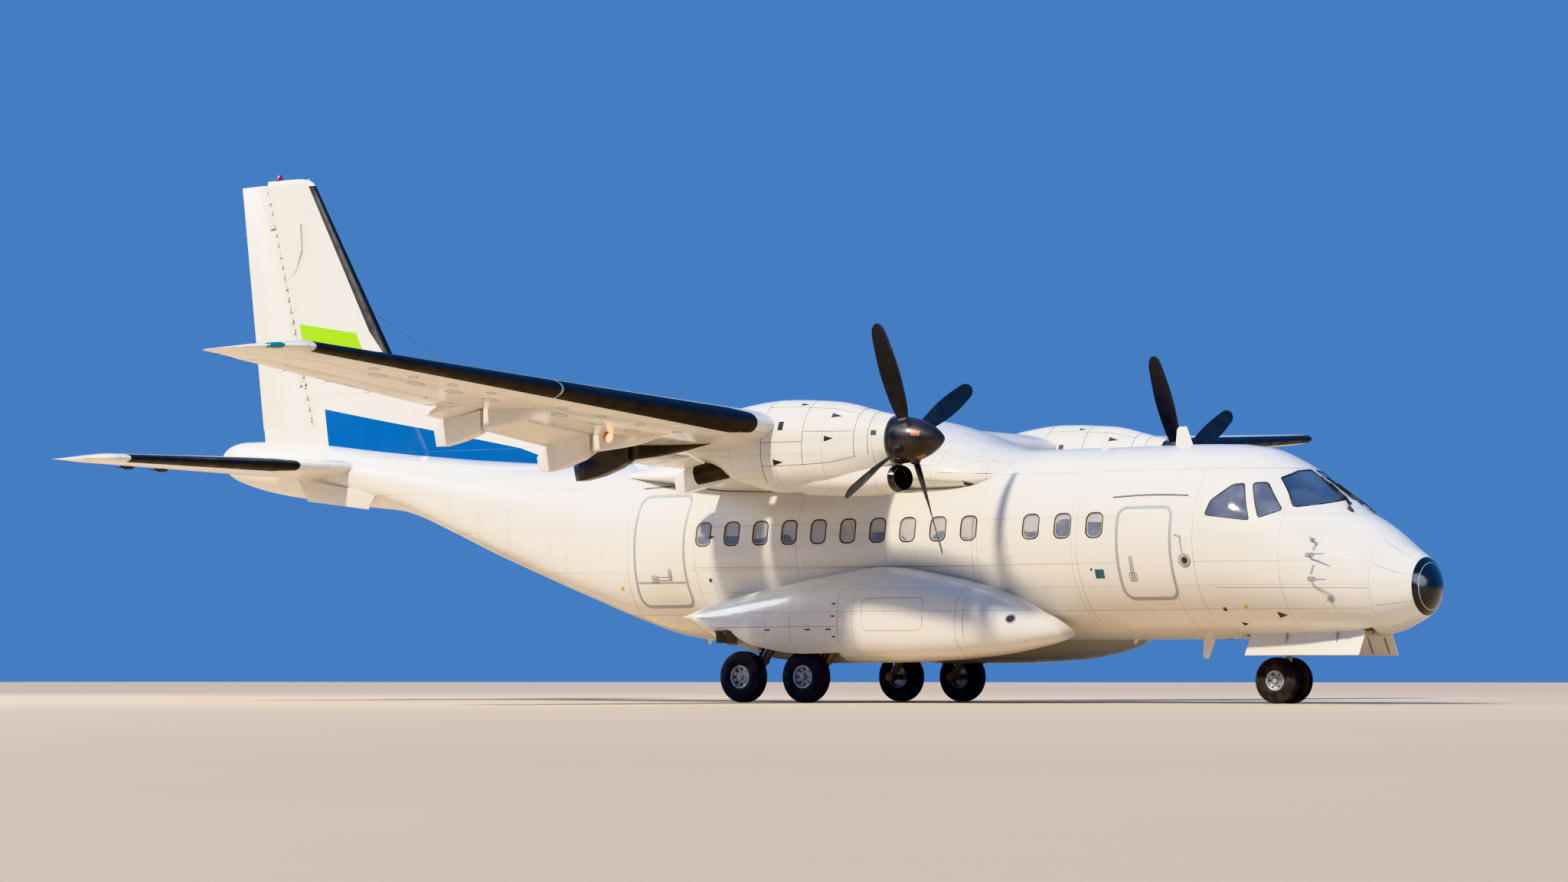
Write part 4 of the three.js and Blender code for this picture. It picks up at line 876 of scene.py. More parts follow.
def hull_front(y, z, lift=0.0):
    """The point of the nose at a place seen from the front, by halving the room it can be in."""
    def level(s, yy, zz):
        half, bottom, top, widest, _ = hull_section(s)
        tall = top - widest if zz > widest else widest - bottom
        return (yy / half) ** 2 + ((zz - widest) / tall) ** 2

    near, far = RADOME_BACK, HULL[14][0]
    for _ in range(30):
        middle = (near + far) / 2
        near, far = (middle, far) if level(middle, y, z) > 1 else (near, middle)
    step = 0.01
    slope = Vector((
        level(far - step, y, z) - level(far + step, y, z),
        level(far, y + step, z) - level(far, y - step, z),
        level(far, y, z + step) - level(far, y, z - step)))
    return at(far, y, z) + slope.normalized() * lift


def on_front(side):
    """The nose seen from the front, on one side, as a surface(y, z, lift)."""
    def surface(y, z, lift):
        point = hull_front(abs(y), z, lift)
        return Vector((point.x, side * point.y, point.z))
    return surface


print("the nose is 2.3 m high at station", round(LENGTH / 2 - hull_front(0, 2.3).x, 2))
# %% [markdown]
# ## Doors, windows and bays
# A row of small windows runs along each side, with one place left out over the wing root. A
# window is a pocket with a brown rim, a cream reveal and a pane whose blind is half drawn. We
# gather all the tools that cut the cabin skin first and cut once, which is quicker and cleaner.

# %% Cabin windows
WINDOW_PITCH = 0.499
WINDOW_AFT = 10.83
WINDOW_PLACES = [0, 1, 2, 3, 4, 5, 6, 7, 8, 9, 11, 12, 13]
WINDOW_HEIGHT, WINDOW_WIDTH, WINDOW_MIDDLE = 0.33, 0.25, 2.37
# The pane's dark blue-grey body is painted shade: it stands for the unlit cabin behind the glass. Above a
# wavy edge the paler half-drawn blind shows.
glazing = Finish("window_glass", (0.15, 0.165, 0.2), 0.07, Coat_Weight=1.0, Coat_Roughness=0.02)
uneven = glazing.math("MULTIPLY", glazing.noise(1.7, 0), 0.16)
blind_edge = glazing.math("ADD", uneven, WINDOW_MIDDLE - 0.19)
forward_row = glazing.math("GREATER_THAN", glazing.along(X_AXIS), LENGTH / 2 - 6.2)
blind_edge = glazing.math("ADD", blind_edge, glazing.math("MULTIPLY", forward_row, 0.12))
glazing.paint(glazing.math("GREATER_THAN", glazing.along(Z_AXIS), blind_edge), (0.5, 0.46, 0.42))
# Blue-grey patches laid over pane and blind are a painted sky reflection.
glazing.paint(glazing.noise(4, 4), (0.3, 0.34, 0.42), 0.35)

cabin_tools, panes, rims, reveals = [], [], [], []
for side in SIDES.values():
    surface = on_side(side)
    for place in WINDOW_PLACES:
        middle = WINDOW_AFT - WINDOW_PITCH * place
        outline = rounded(
            middle - WINDOW_WIDTH / 2, middle + WINDOW_WIDTH / 2, WINDOW_MIDDLE - WINDOW_HEIGHT / 2,
            WINDOW_MIDDLE + WINDOW_HEIGHT / 2, 0.085, 4)
        cabin_tools.append(plate("window_tool", outline, surface, 0.03, -0.026, 2))
        panes.append(plate("pane", grown(outline, -0.002), surface, -0.013, -0.024, 3))
        reveals.append(band("reveal", grown(outline, -0.011), surface, 0.017, -0.006, -0.02))
        rims.append(band("rim", outline, surface, 0.02, 0.0022, -0.004))
fit_all("cabin_window_panes", panes, glazing.material)
fit_all("cabin_window_reveals", reveals, reveal)
fit_all("cabin_window_rims", rims, rim_brown)
print(len(panes), "windows")

# %% [markdown]
# The windscreen panes are drawn as seen from the front and the side panes as seen from the
# side, and then put on the skin. The posts between them are broad, cream like the hull and lean
# back with the windscreen. Each pane sits in a thin dark rubber seal.

# %% Cockpit panes
WINDSCREEN = [(0.05, 2.7), (0.05, 3.08), (0.34, 3.06), (0.69, 2.955), (0.9, 2.57)]
SIDE_PANES = {
    "side_pane_front": [(1.74, 2.53), (2.02, 2.89), (2.17, 2.885), (1.985, 2.43)],
    "side_pane_rear": [(2.28, 2.88), (2.4, 2.87), (2.645, 2.66), (2.69, 2.475), (2.105, 2.4)],
}


def eased(outline, radius=0.03):
    """An outline with each corner cut round by a few points."""
    result = []
    for k, corner in enumerate(outline):
        here, before, after = (Vector(outline[i % len(outline)]) for i in (k, k - 1, k + 1))
        start = here + (before - here).normalized() * radius
        end = here + (after - here).normalized() * radius
        result += [tuple(start.lerp(here, t).lerp(here.lerp(end, t), t)) for t in (0, 0.5, 1)]
    return result


seals = []
for side_name, side in SIDES.items():
    views = {"windscreen": (WINDSCREEN, on_front(side), cockpit_glass)}
    views.update({name: (outline, on_side(side), side_glass) for name, outline in SIDE_PANES.items()})
    for name, (outline, surface, glass) in views.items():
        outline = eased(outline)
        cabin_tools.append(plate("pane_tool", grown(outline, 0.003), surface, 0.05, -0.03, 6))
        pane = plate(f"{name}_{side_name}_glass", outline, surface, -0.003, -0.025, 8, 0.003)
        fit(pane, glass, instead_of=[f"{name}_{side_name}"])
        seals.append(band("seal", grown(outline, 0.006), surface, 0.014, 0.003, -0.006))
fit_all("cockpit_pane_seals", seals, seal_black)
print("6 cockpit panes")

# %% [markdown]
# The doors are plates with a gap of four millimetres round them. A broad grey line is painted
# just inside the gap of the starboard and port doors, and the handle sits in a recess.

# %% Doors
DOORS = {
    "door_front_right": (-1, 3.16, 4.01, 1.37, 2.61), "door_front_left": (1, 3.11, 3.84, 1.18, 2.88),
    "door_rear_right": (-1, 11.15, 12.08, 1.34, 2.96), "door_rear_left": (1, 11.15, 12.08, 1.34, 2.96),
}
door_lines, recesses, handles = [], [], []
for name, (side, front_edge, back_edge, bottom, top) in DOORS.items():
    surface = on_side(side)
    outline = rounded(front_edge, back_edge, bottom, top, 0.15, 6)
    cabin_tools.append(plate("door_tool", grown(outline, 0.004), surface, 0.05, -0.05, 6))
    door = plate(f"{name}_panel", outline, surface, 0.0, -0.045, 10, 0.003)
    fit(door, panel_paint, instead_of=[name])
    door_lines.append(band("door_line", grown(outline, -0.024), surface, 0.036, *PAINTED))
    if "rear" in name:
        low = blend(bottom, top, 0.22)
        step = [(front_edge + 0.05, low), (back_edge - 0.05, low)]
        door_lines.append(strip("step_line", step, surface, 0.03, *PAINTED))
        grip = [(11.45, 1.86), (11.45, 1.75), (11.72, 1.75)]
    else:
        grip = [(back_edge - 0.22, 1.92), (back_edge - 0.22, 1.68)]
    for a, b in zip(grip, grip[1:]):
        low_corner, high_corner = (min(a[0], b[0]), min(a[1], b[1])), (max(a[0], b[0]), max(a[1], b[1]))
        box = (low_corner[0] - 0.022, high_corner[0] + 0.022, low_corner[1] - 0.022, high_corner[1] + 0.022)
        recesses.append(band("recess", rounded(*box, 0.02, 3), surface, 0.009, *RAISED))
    end = grip[-1]
    latch = rounded(end[0] - 0.055, end[0] + 0.055, end[1] - 0.06, end[1] + 0.045, 0.02, 3)
    recesses.append(band("latch_line", latch, surface, 0.009, *RAISED))
    handles.append(plate("latch", grown(latch, -0.018), surface, 0.004, -0.002, 2, 0.002))
    handles.append(strip("handle", [grip[0], grip[1]], surface, 0.016, 0.006, -0.002))
fit_all("door_lines", door_lines, grey_line)
fit_all("door_recess_lines", recesses, seam_dark)
fit_all("door_handles", handles, gear_grey)
print(len(DOORS), "doors")

# %% [markdown]
# The nose gear folds into a bay in the belly. Its walls are a liner of primed sheet with frames
# across, so that the look into the bay from below ends in something real.

# %% Nose bay
BAY_FRONT, BAY_BACK, BAY_HALF, BAY_ROOF = 0.75, 2.65, 0.4, 1.35
cabin_tools.append(box_piece("bay_tool", at(BAY_FRONT, -BAY_HALF, 0.2), at(BAY_BACK, BAY_HALF, BAY_ROOF)))
liner = box_piece("nose_bay_liner", at(BAY_FRONT, -BAY_HALF, 0.905), at(BAY_BACK, BAY_HALF, BAY_ROOF))
cut(liner, box_piece("room", at(BAY_FRONT + 0.006, 0.006 - BAY_HALF, 0.2),
                     at(BAY_BACK - 0.006, BAY_HALF - 0.006, BAY_ROOF - 0.006)))
cut(liner, hull_piece("nose_shape", RADOME_BACK, 3.2), "INTERSECT")
fit(liner, bay_paint)
frames = []
for station in spread(BAY_FRONT + 0.16, BAY_BACK - 0.14, 8):
    for side in SIDES.values():
        low, high = at(station, side * 0.392, 0.92), at(station + 0.018, side * 0.352, 1.34)
        frames.append(box_piece("frame", low, high, 0.003))
    if abs(station - 1.72) > 0.14 and abs(station - 2.2) > 0.11:
        frames.append(box_piece("beam", at(station, -0.39, 1.29), at(station + 0.02, 0.39, 1.342), 0.004))
for y in (-0.3, -0.26, 0.28):
    frames.append(bar("pipe", at(0.8, y, 1.25), at(2.6, y, 1.25), 0.009, 8))
fit_all("nose_bay_frames", frames, bay_paint)
print("nose bay with", len(frames), "frames and pipes")

# %% [markdown]
# Now all the tools that were gathered become one, and the cabin skin is cut once. The radome and
# the tail cone have no openings and only get their paint.

# %% One cut for the whole cabin
hull_tools = join("hull_tools", cabin_tools)
cut(cabin, hull_tools)
soften(cabin)
fit(radome_tip, black_paint, instead_of=["radome_tip"])
fit(radome, panel_paint, instead_of=["radome"])
fit(cabin, hull_paint, instead_of=["fuselage"])
fit(tail, hull_paint, instead_of=["tail_cone"])
print("cabin skin:", len(cabin.data.polygons), "faces")

# %% [markdown]
# Under the tail the hull opens: a ramp that hinges at its front edge, and a door above it that
# hinges at its back edge. Both are cut from the same skin as the hull, with a running gap, and
# the hold behind them is hollow.

# %% Hold, ramp and upper door
RAMP_FRONT, RAMP_BACK, HOLD_BACK, WALL = 12.25, 15.2, 17.38, 0.09
OPENING_BACK, FRONT_HALF, BACK_HALF, TAPER_START = 17.348, 1.06, 0.64, 12.95
RUNNING_GAP = 0.008
PARTING_LEAN = 0.4
PARTING_HEIGHT = 2.162


def opening_tool(clearance):
    port = [(RAMP_FRONT + clearance, FRONT_HALF - clearance), (TAPER_START, FRONT_HALF - clearance),
            (OPENING_BACK - clearance, BACK_HALF - clearance)]
    outline = port + [(s, -y) for s, y in reversed(port)]
    floor_level = [at(s, y, 0.2) for s, y in outline]
    inside_hold = [at(s, y, hull_section(s)[3]) for s, y in outline]
    return wrap("opening_tool", capped([floor_level, inside_hold]))


def parting_tool(start, end):
    def edge(station, z):
        return station - PARTING_LEAN * (z - PARTING_HEIGHT), z
    outline = [edge(start, 0), edge(end, 0), edge(end, 3.4), edge(start, 3.4)]
    return slab("parting_tool", outline, 2)


def hold_core(start, end):
    rows = [hull_ring(s, inset=WALL) for s in hull_stations(start, end)]
    return wrap("hold_core", capped(rows))


leaf_skin = hull_piece("leaf_skin", CABIN_BACK, TAIL_FRONT)
cut(leaf_skin, opening_tool(RUNNING_GAP), "INTERSECT")
cut(leaf_skin, hold_core(CABIN_BACK - 0.1, TAIL_FRONT + 0.1))
pick(leaf_skin)
bpy.ops.object.duplicate()
upper_leaf = bpy.context.object
cut(leaf_skin, parting_tool(RAMP_FRONT - 2, RAMP_BACK - RUNNING_GAP / 2), "INTERSECT")
cut(upper_leaf, parting_tool(RAMP_BACK + RUNNING_GAP / 2, HOLD_BACK + 2), "INTERSECT")
for leaf, name in ((leaf_skin, "cargo_ramp"), (upper_leaf, "upper_cargo_door")):
    leaf.name = f"{name}_leaf"
    leaf.data.name = leaf.name
    soften(leaf)
    fit(leaf, hull_paint, name, instead_of=[name])
cut(aft, hold_core(RAMP_FRONT, HOLD_BACK))
cut(aft, opening_tool(0))
soften(aft)
fit(aft, hull_paint, instead_of=["aft_fuselage"])
print("aft skin:", len(aft.data.polygons), "ramp:", len(leaf_skin.data.polygons))

# %% [markdown]
# ## Wing
# The wing is straight as far as the engines and tapers from there to a raked tip. Its section
# is a thick cambered aerofoil. A function of span and share of the chord gives any point of the
# skin, on top or below, and the rubber boots, lamps and panels are all placed by it.

# %% Wing skin
KINK_Y, TAPER_END_Y = 3.5, 12.2
ROOT_CHORD, TIP_CHORD, WING_LEADING, WING_HEIGHT = 3.0, 1.27, 7.72, 3.66
DIHEDRAL, SWEEP, INCIDENCE, CAMBER = 0.07, 0.092, 0.075, 0.02
# y, leading station, trailing station, share of the thickness
TIP_SHAPE = [
    (12.2, 8.5204, 9.7904, 1.0), (12.46, 8.7, 9.745, 0.75), (12.72, 9.06, 9.72, 0.5),
    (SPAN / 2, 9.54, 9.7, 0.3),
]
FINE_SHARES = [(1 - math.cos(math.pi * k / 22)) / 2 for k in range(23)]


def half_thickness(share, thickness):
    return 5 * thickness * (
        0.2969 * math.sqrt(share) - 0.126 * share - 0.3516 * share**2 + 0.2843 * share**3 - 0.1 * share**4)


def wing_at(y):
    """Leading station, chord, height of the leading edge and thickness at a distance out."""
    out = max(0.0, abs(y) - KINK_Y)
    taper = min(1.0, out / (TAPER_END_Y - KINK_Y))
    thickness = 0.18 - 0.04 * taper
    leading = WING_LEADING + SWEEP * out
    chord = blend(ROOT_CHORD, TIP_CHORD, taper)
    height = WING_HEIGHT + DIHEDRAL * out
    if abs(y) > TAPER_END_Y:
        leading = smooth(TIP_SHAPE, abs(y), 1)
        chord = smooth(TIP_SHAPE, abs(y), 2) - leading
        thickness *= smooth(TIP_SHAPE, abs(y), 3)
        height -= INCIDENCE * (leading - TIP_SHAPE[0][1])
    return leading, chord, height, thickness


def wing_point(y, share, upper, lift=0.0):
    leading, chord, height, thickness = wing_at(y)
    half = half_thickness(share, thickness) * (1 if upper else -1)
    rise = 4 * CAMBER * share * (1 - share) + half - INCIDENCE * share
    shift = Vector((0, 0, lift if upper else -lift))
    if share < 0.12:
        lean = 1 - share / 0.12
        shift = Vector((lift * lean, 0, (lift if upper else -lift) * math.sqrt(max(0, 1 - lean**2))))
    return at(leading + share * chord, y, height + rise * chord) + shift


def skin_row(surface_point, y):
    """A whole section, aft over the top and forward along the underside."""
    upper = [surface_point(y, share, True) for share in FINE_SHARES]
    return upper + [surface_point(y, share, False) for share in reversed(FINE_SHARES[1:-1])]


def under_wing(station, y, lift):
    leading, chord, _, _ = wing_at(y)
    return wing_point(y, min(1, max(0, (station - leading) / chord)), False, lift)


def cut_behind(share, from_y, to_y):
    """A tool that frees the room behind a share of the chord, between two distances out."""
    def line(y):
        leading, chord, _, _ = wing_at(y)
        return leading + share * chord
    front, back = (line(from_y), from_y), (line(to_y), to_y)
    return block("cut_behind", [front, back, (back[0] + 6, to_y), (front[0] + 6, from_y)], 1, 8)


rows = [skin_row(wing_point, y) for y in spread(-KINK_Y, KINK_Y, 15)]
middle_wing = wrap("wing_center_skin", capped(rows))
wings = {}
for side_name, side in SIDES.items():
    body = [side * y for y in spread(KINK_Y + 0.0003, TAPER_END_Y, 16)]
    tip = [side * blend(TAPER_END_Y, SPAN / 2, math.sin(math.pi / 2 * k / 9)) for k in range(1, 10)]
    rows = [skin_row(wing_point, y) for y in body + tip]
    wings[side_name] = wrap(f"wing_{side_name}_skin", capped(rows))
print("wing faces:", len(middle_wing.data.polygons), len(wings["left"].data.polygons))

# %% [markdown]
# Behind the rear spar the wing makes room for flaps and ailerons. The flaps hang on fairings
# shaped like boats: the front half is part of the wing, the rear half moves with the flap.

# %% Room for flaps and ailerons, and the fixed halves of the flap fairings
FLAP_SPANS = {"flap_inner": (1.53, 4.2), "flap_outer": (4.25, 8.14)}
FAIRING_YS = {"flap_inner": [1.95], "flap_outer": [4.34, 5.25, 7.68]}
AILERON_SPAN = (8.33, 12.1)
FLAP_CUT, AILERON_CUT, END_GAP = 0.67, 0.71, 0.02
PIVOT_SHARE, PIVOT_DROP, KEEL_HALF = 0.735, 0.4, 0.085


def flap_pivot(y):
    leading, chord, height, _ = wing_at(y)
    return at(leading + PIVOT_SHARE * chord, y, height - PIVOT_DROP)


def boxy(station, y, half, bottom, top, radius):
    outline = rounded(-half, half, bottom, top, min(radius, half * 0.9, (top - bottom) * 0.45), 3)
    return [at(station, y + a, b) for a, b in outline]


def keel(y):
    """The fixed front half of a flap fairing, sharp at its front and as wide as its boat behind."""
    pivot = flap_pivot(y)
    back = LENGTH / 2 - pivot.x - 0.075
    leading, chord, _, _ = wing_at(y)
    front, middle = leading + 0.26 * chord, leading + 0.5 * chord
    line = [(front, under_wing(front, y, 0).z - 0.004), (middle, pivot.z + 0.02), (back, pivot.z - 0.035)]
    rows = []
    for station in spread(front, back, 16):
        share = (station - front) / (back - front)
        half = KEEL_HALF * min(1, 0.12 + 2.4 * share)
        top = under_wing(min(station, leading + 0.66 * chord), y, 0).z + 0.03
        rows.append(boxy(station, y, half, smooth(line, station, 1), top, 0.03))
    return wrap("keel", capped(rows))


for side_name, side in SIDES.items():
    keels = []
    for flap, (inner, outer) in FLAP_SPANS.items():
        for target_wing in (wings[side_name], middle_wing):
            cut(target_wing, cut_behind(FLAP_CUT, side * (inner - END_GAP), side * (outer + END_GAP)))
        keels += [keel(side * y) for y in FAIRING_YS[flap]]
    cut(wings[side_name],
        cut_behind(AILERON_CUT, side * (AILERON_SPAN[0] - END_GAP), side * (AILERON_SPAN[1] + END_GAP)))
    soften(wings[side_name])
    fit(wings[side_name], wing_paint, instead_of=[f"wing_{side_name}"])
    inner_keel, sooty_keel, *outer_keels = keels
    fit_all(f"flap_keels_{side_name}", [inner_keel, *outer_keels], panel_paint)
    sooty_keel.name = f"sooty_keel_{side_name}"
    fit(sooty_keel, soot)
soften(middle_wing)
fit(middle_wing, wing_paint, instead_of=["wing_center"])
print("keels at", FAIRING_YS)

# %% [markdown]
# Flaps and ailerons keep the frame's shape: we copy the solid, merge its loose triangles into
# clean faces and round its edges a little, so that they catch the light. The inner end of each
# outer flap sits in the exhaust and is black with soot.

# %% Flaps and ailerons
flap_finish = white_paint("flap_paint", ((Y_AXIS, 0.65),), ((Y_AXIS, 0.325),), 0.3, (2.5, 0.5, 1))
outward = flap_finish.math("ABSOLUTE", flap_finish.along(Y_AXIS))
flap_finish.paint(flap_finish.between(outward, 4.24, 4.66), (0.013, 0.012, 0.012))
# Behind each nacelle, from 2.75 m to 4.24 m out, the flaps get darker grey-brown in noisy patches.
grey_inboard_stretch = flap_finish.math(
    "MULTIPLY", flap_finish.between(outward, 2.75, 4.24), flap_finish.noise(2.2, 4, (1, 2, 1), 0.4, 0.62))
flap_finish.paint(grey_inboard_stretch, (0.09, 0.07, 0.055), 0.8)
flap_paint = flap_finish.material

for side_name, side in SIDES.items():
    for kind in ("flap_inner", "flap_outer", "aileron"):
        node = f"{kind}_{side_name}"
        moving_surface(node, flap_paint if "flap" in kind else wing_paint)
print("flaps and ailerons dressed")

# %% [markdown]
# Rubber boots on the leading edges swell to crack the ice off. They are thin sheets glued over
# the skin: black, dull and a little proud, with a rounded inner end and a joint half-way out.

# %% De-icing boots
BOOT_SHARE, BOOT_PROUD = 0.068, 0.0035


def sheet_row(surface_point, y, reach, steps, proud):
    """A section of a thin sheet, from an upper share round the leading edge to the lower one."""
    shares = [reach * (k / steps) ** 2 for k in range(steps, -1, -1)]

    def face(lift):
        upper = [surface_point(y, share, True, lift) for share in shares]
        return upper + [surface_point(y, share, False, lift) for share in reversed(shares[:-1])]

    return face(proud) + face(-0.004)[::-1]


def boot(name, surface_point, start, end, share, rounding=0.14):
    """A sheet between two places along the leading edge, its first end rounded."""
    places = spread(start, end, max(8, round(abs(end - start) / 0.35)))
    if rounding:
        places.insert(1, blend(start, end, 0.006))
    rows = []
    for y in places:
        near = min(1.0, abs(y - start) / rounding) if rounding else 1.0
        reach = share * math.sqrt(max(0.12, 1 - (1 - near) ** 2))
        rows.append(sheet_row(surface_point, y, reach, 7, BOOT_PROUD))
    return wrap(name, capped(rows), 50)


for side_name, side in SIDES.items():
    sheets = [boot("boot", wing_point, side * 4.3, side * 7.98, BOOT_SHARE),
              boot("boot", wing_point, side * 8.02, side * 12.19, BOOT_SHARE, 0)]
    fit_all(f"wing_boots_{side_name}", sheets, boot_rubber)
    joint = boot("joint", wing_point, side * 7.982, side * 8.018, BOOT_SHARE, 0)
    joint.name = f"boot_joint_{side_name}"
    fit(joint, wheel_metal)
print("wing boots fitted")

# %% [markdown]
# Where wing and hull meet, a long fairing smooths the step. It is one more oval body, blunt over
# the root and drawn out to points in front and behind.

# %% Wing fairing
# station, half width, bottom, top, widest height
FAIRING = [
    (5.9, 0.85, 3.05, 3.42, 3.12), (6.5, 1.24, 2.82, 3.56, 3.05), (7.2, 1.4, 2.79, 3.8, 3.12),
    (7.9, 1.44, 2.79, 3.96, 3.16), (9.3, 1.45, 2.8, 3.99, 3.18), (10.6, 1.41, 2.87, 3.83, 3.18),
    (11.5, 1.28, 3.04, 3.64, 3.2), (12.6, 0.88, 3.18, 3.44, 3.25),
]


def fairing_section(station):
    return [*(smooth(FAIRING, station, c) for c in range(1, 5)), 2]


rows = [oval(s, 0, fairing_section(s), 96) for s in hull_stations(FAIRING[0][0], FAIRING[-1][0])]
fairing = wrap("wing_fairing_skin", capped(rows))
cut(fairing, middle_wing, keep_tool=True)
soften(fairing)
fit(fairing, cowl_paint, instead_of=["wing_fairing"])
print("wing fairing:", len(fairing.data.polygons))

# %% [markdown]
# ## Engines
# A nacelle is a round cowl that thickens from the spinner to the wing and fades out behind it,
# with an intake blister slung underneath. The blister's mouth has a black lip shaped like a
# kidney bean, and behind it a duct.

# %% Nacelles and intakes
ENGINE_Y, PROPELLER_Z = 3.5, 3.46
# station, half width, bottom, top, widest height, squareness below
NACELLE = [
    (6.09, 0.33, 3.125, 3.795, 3.46, 2), (6.35, 0.385, 3.0, 3.855, 3.445, 2),
    (7.04, 0.47, 2.83, 4.01, 3.4, 2.2), (7.89, 0.515, 2.81, 4.055, 3.4, 2.3),
    (8.46, 0.5, 2.93, 4.0, 3.4, 2.3), (8.9, 0.45, 3.11, 3.9, 3.42, 2.2), (9.35, 0.33, 3.3, 3.75, 3.48, 2),
    (9.6, 0.18, 3.43, 3.64, 3.52, 2),
]
INTAKE = [
    (6.01, 0.235, 2.8, 3.125, 2.965, 2), (6.13, 0.27, 2.765, 3.15, 2.965, 2),
    (6.6, 0.3, 2.74, 3.2, 2.97, 2), (7.5, 0.33, 2.77, 3.3, 3.0, 2),
]
DUCT = [(5.99, 0.2, 2.835, 3.09, 2.965, 2), (6.42, 0.165, 2.87, 3.06, 2.965, 2)]
LIP_BACK = 6.085


def section_of(table, station):
    return [smooth(table, station, column) for column in range(1, 6)]


def oval_body(name, table, y, pitch=0.06, count=64):
    stations = hull_stations(table[0][0], table[-1][0], pitch)
    return wrap(name, capped([oval(s, y, section_of(table, s), count) for s in stations]))


def cowl(y, mirror):
    """The surface of the cowl at a station and an angle, counted up from the outboard side."""
    def surface(station, angle, lift):
        turn = math.pi - angle if mirror else angle
        return oval_point(station, y, section_of(NACELLE, station), turn, lift, math.copysign(1, y))
    return surface


for side_name, side in SIDES.items():
    y = side * ENGINE_Y
    blister = oval_body("blister", INTAKE, y)
    cut(blister, oval_body("duct_tool", DUCT, y))
    lip_box = box_piece("lip_box", at(5.9, y - 0.4, 2.6), at(LIP_BACK - 0.001, y + 0.4, 3.3))
    pick(blister)
    bpy.ops.object.duplicate()
    lip = bpy.context.object
    cut(lip, lip_box, "INTERSECT")
    lip.name = f"intake_lip_{side_name}_ring"
    bevel(lip, 0.008, 3, 50)
    fit(lip, black_paint, instead_of=[f"intake_lip_{side_name}"])
    cut(blister, box_piece("lip_box", at(5.9, y - 0.4, 2.6), at(LIP_BACK, y + 0.4, 3.3)))
    cowling = oval_body(f"nacelle_{side_name}_cowl", NACELLE, y)
    cut(cowling, blister, "UNION")
    cut(cowling, oval_body("duct_tool", DUCT, y))
    soften(cowling)
    fit(cowling, cowl_paint, instead_of=[f"nacelle_{side_name}"])
    # A black plug closes the back of the duct and a thin black sleeve lines it: both are painted shade for
    # the dark depth of the intake.
    shade_plug = [(0.0, 0), (0.155, 0), (0.155, 0.02), (0.0, 0.02)]
    fit(turned(f"duct_shade_plug_{side_name}", shade_plug, at(6.41, y, 2.965), X_AXIS, 32), seal_black)
    sleeve_ends = [(LIP_BACK + 0.002, 0.001), (6.405, 0.001), (6.405, 0.006), (LIP_BACK + 0.002, 0.006)]
    rows = [oval(s, y, section_of(DUCT, s), 64, inset) for s, inset in sleeve_ends]
    sleeve = wrap(f"duct_shade_sleeve_{side_name}", rows, ring=True)
    fit(sleeve, soot)
print("nacelles:", len(cowling.data.polygons), "faces")

# %% [markdown]
# The cowl has its own small parts: joints between its panels, flush cooling inlets that narrow
# forward to a point, and an exhaust stub behind the wing.

# %% Cowl joints, cooling inlets and vents
INLETS = [(6.75, 0.75, 0.16), (6.82, 0.15, 0.14), (7.6, -0.3, 0.16), (7.35, 1.1, 0.12)]
for side_name, side in SIDES.items():
    y = side * ENGINE_Y
    lines, holes = [], []
    for mirror in (0, 1):
        shell = cowl(y, mirror)
        rings = [[(s, -0.42 if s < 7.5 else -0.9), (s, 1.57)] for s in (6.32, 6.52, 7.3, 7.95)]
        runs = [[(6.52, angle), (7.95, angle)] for angle in (-0.38, 0.98)]
        runs.append([(6.52, 0.32), (7.3, 0.32), (7.3, 0.1), (7.95, 0.1)])
        lines += strips(rings, shell, 0.009, *JOINT) + strips(runs, shell, 0.012, *JOINT)
        # The inlets and the two vent ports are black plates, not openings: their black is painted shade for
        # the dark mouths.
        for station, angle, size in INLETS:
            outline = [(station, angle), (station + size, angle + size * 0.42 / 2 / 0.45),
                       (station + size, angle - size * 0.42 / 2 / 0.45)]
            holes.append(plate("inlet", outline, shell, *COWL_HOLE, 2))
        for front, back, low, high in ((6.2, 6.28, 0.18, 0.36), (7.62, 7.7, 0.35, 0.55)):
            port = [(front, low), (back, low), (back, high), (front, high)]
            holes.append(plate("port", port, shell, *COWL_HOLE, 2))
    fit_all(f"cowl_joints_{side_name}", lines, seam_dark)
    fit_all(f"cowl_inlets_{side_name}", holes, seal_black)
    pipe = [at(8.72, y + side * 0.24, 3.16), at(9.0, y + side * 0.3, 3.1), at(9.14, y + side * 0.33, 3.07)]
    exhaust = tube(f"exhaust_{side_name}", pipe, [0.14, 0.135, 0.13], 32)
    bore = bar("bore", pipe[1], pipe[2] + (pipe[2] - pipe[1]) * 0.3, 0.115, 32)
    cut(exhaust, bore)
    soften(exhaust)
    fit(exhaust, soot)
print("cowl parts fitted")

# %% [markdown]
# The spinner is a brown-black ogive in two halves. The blades are twisted: steep at the root,
# flat at the tip, thick at the root and thin at the tip. One blade is modelled and copied.

# %% Spinners and propellers
SPINNER_FRONT, SPINNER_BACK, SPINNER_RADIUS, SPINNER_SPLIT = 5.35, 6.05, 0.31, 5.79
# radius, chord, thickness, pitch in degrees
BLADE = [(0.24, 0.11, 0.08, 70), (0.5, 0.205, 0.048, 57), (1.0, 0.262, 0.028, 40), (1.52, 0.205, 0.014, 30),
         (1.63, 0.14, 0.01, 28), (1.675, 0.035, 0.005, 27)]
BLADE_STATION, BLADE_PHASE, BLADE_COUNT = 5.905, 28, 4


def spinner_radius(station):
    share = max(0.0, (station - SPINNER_FRONT) / (SPINNER_BACK - SPINNER_FRONT))
    return SPINNER_RADIUS * math.sin(math.pi / 2 * share**0.72)


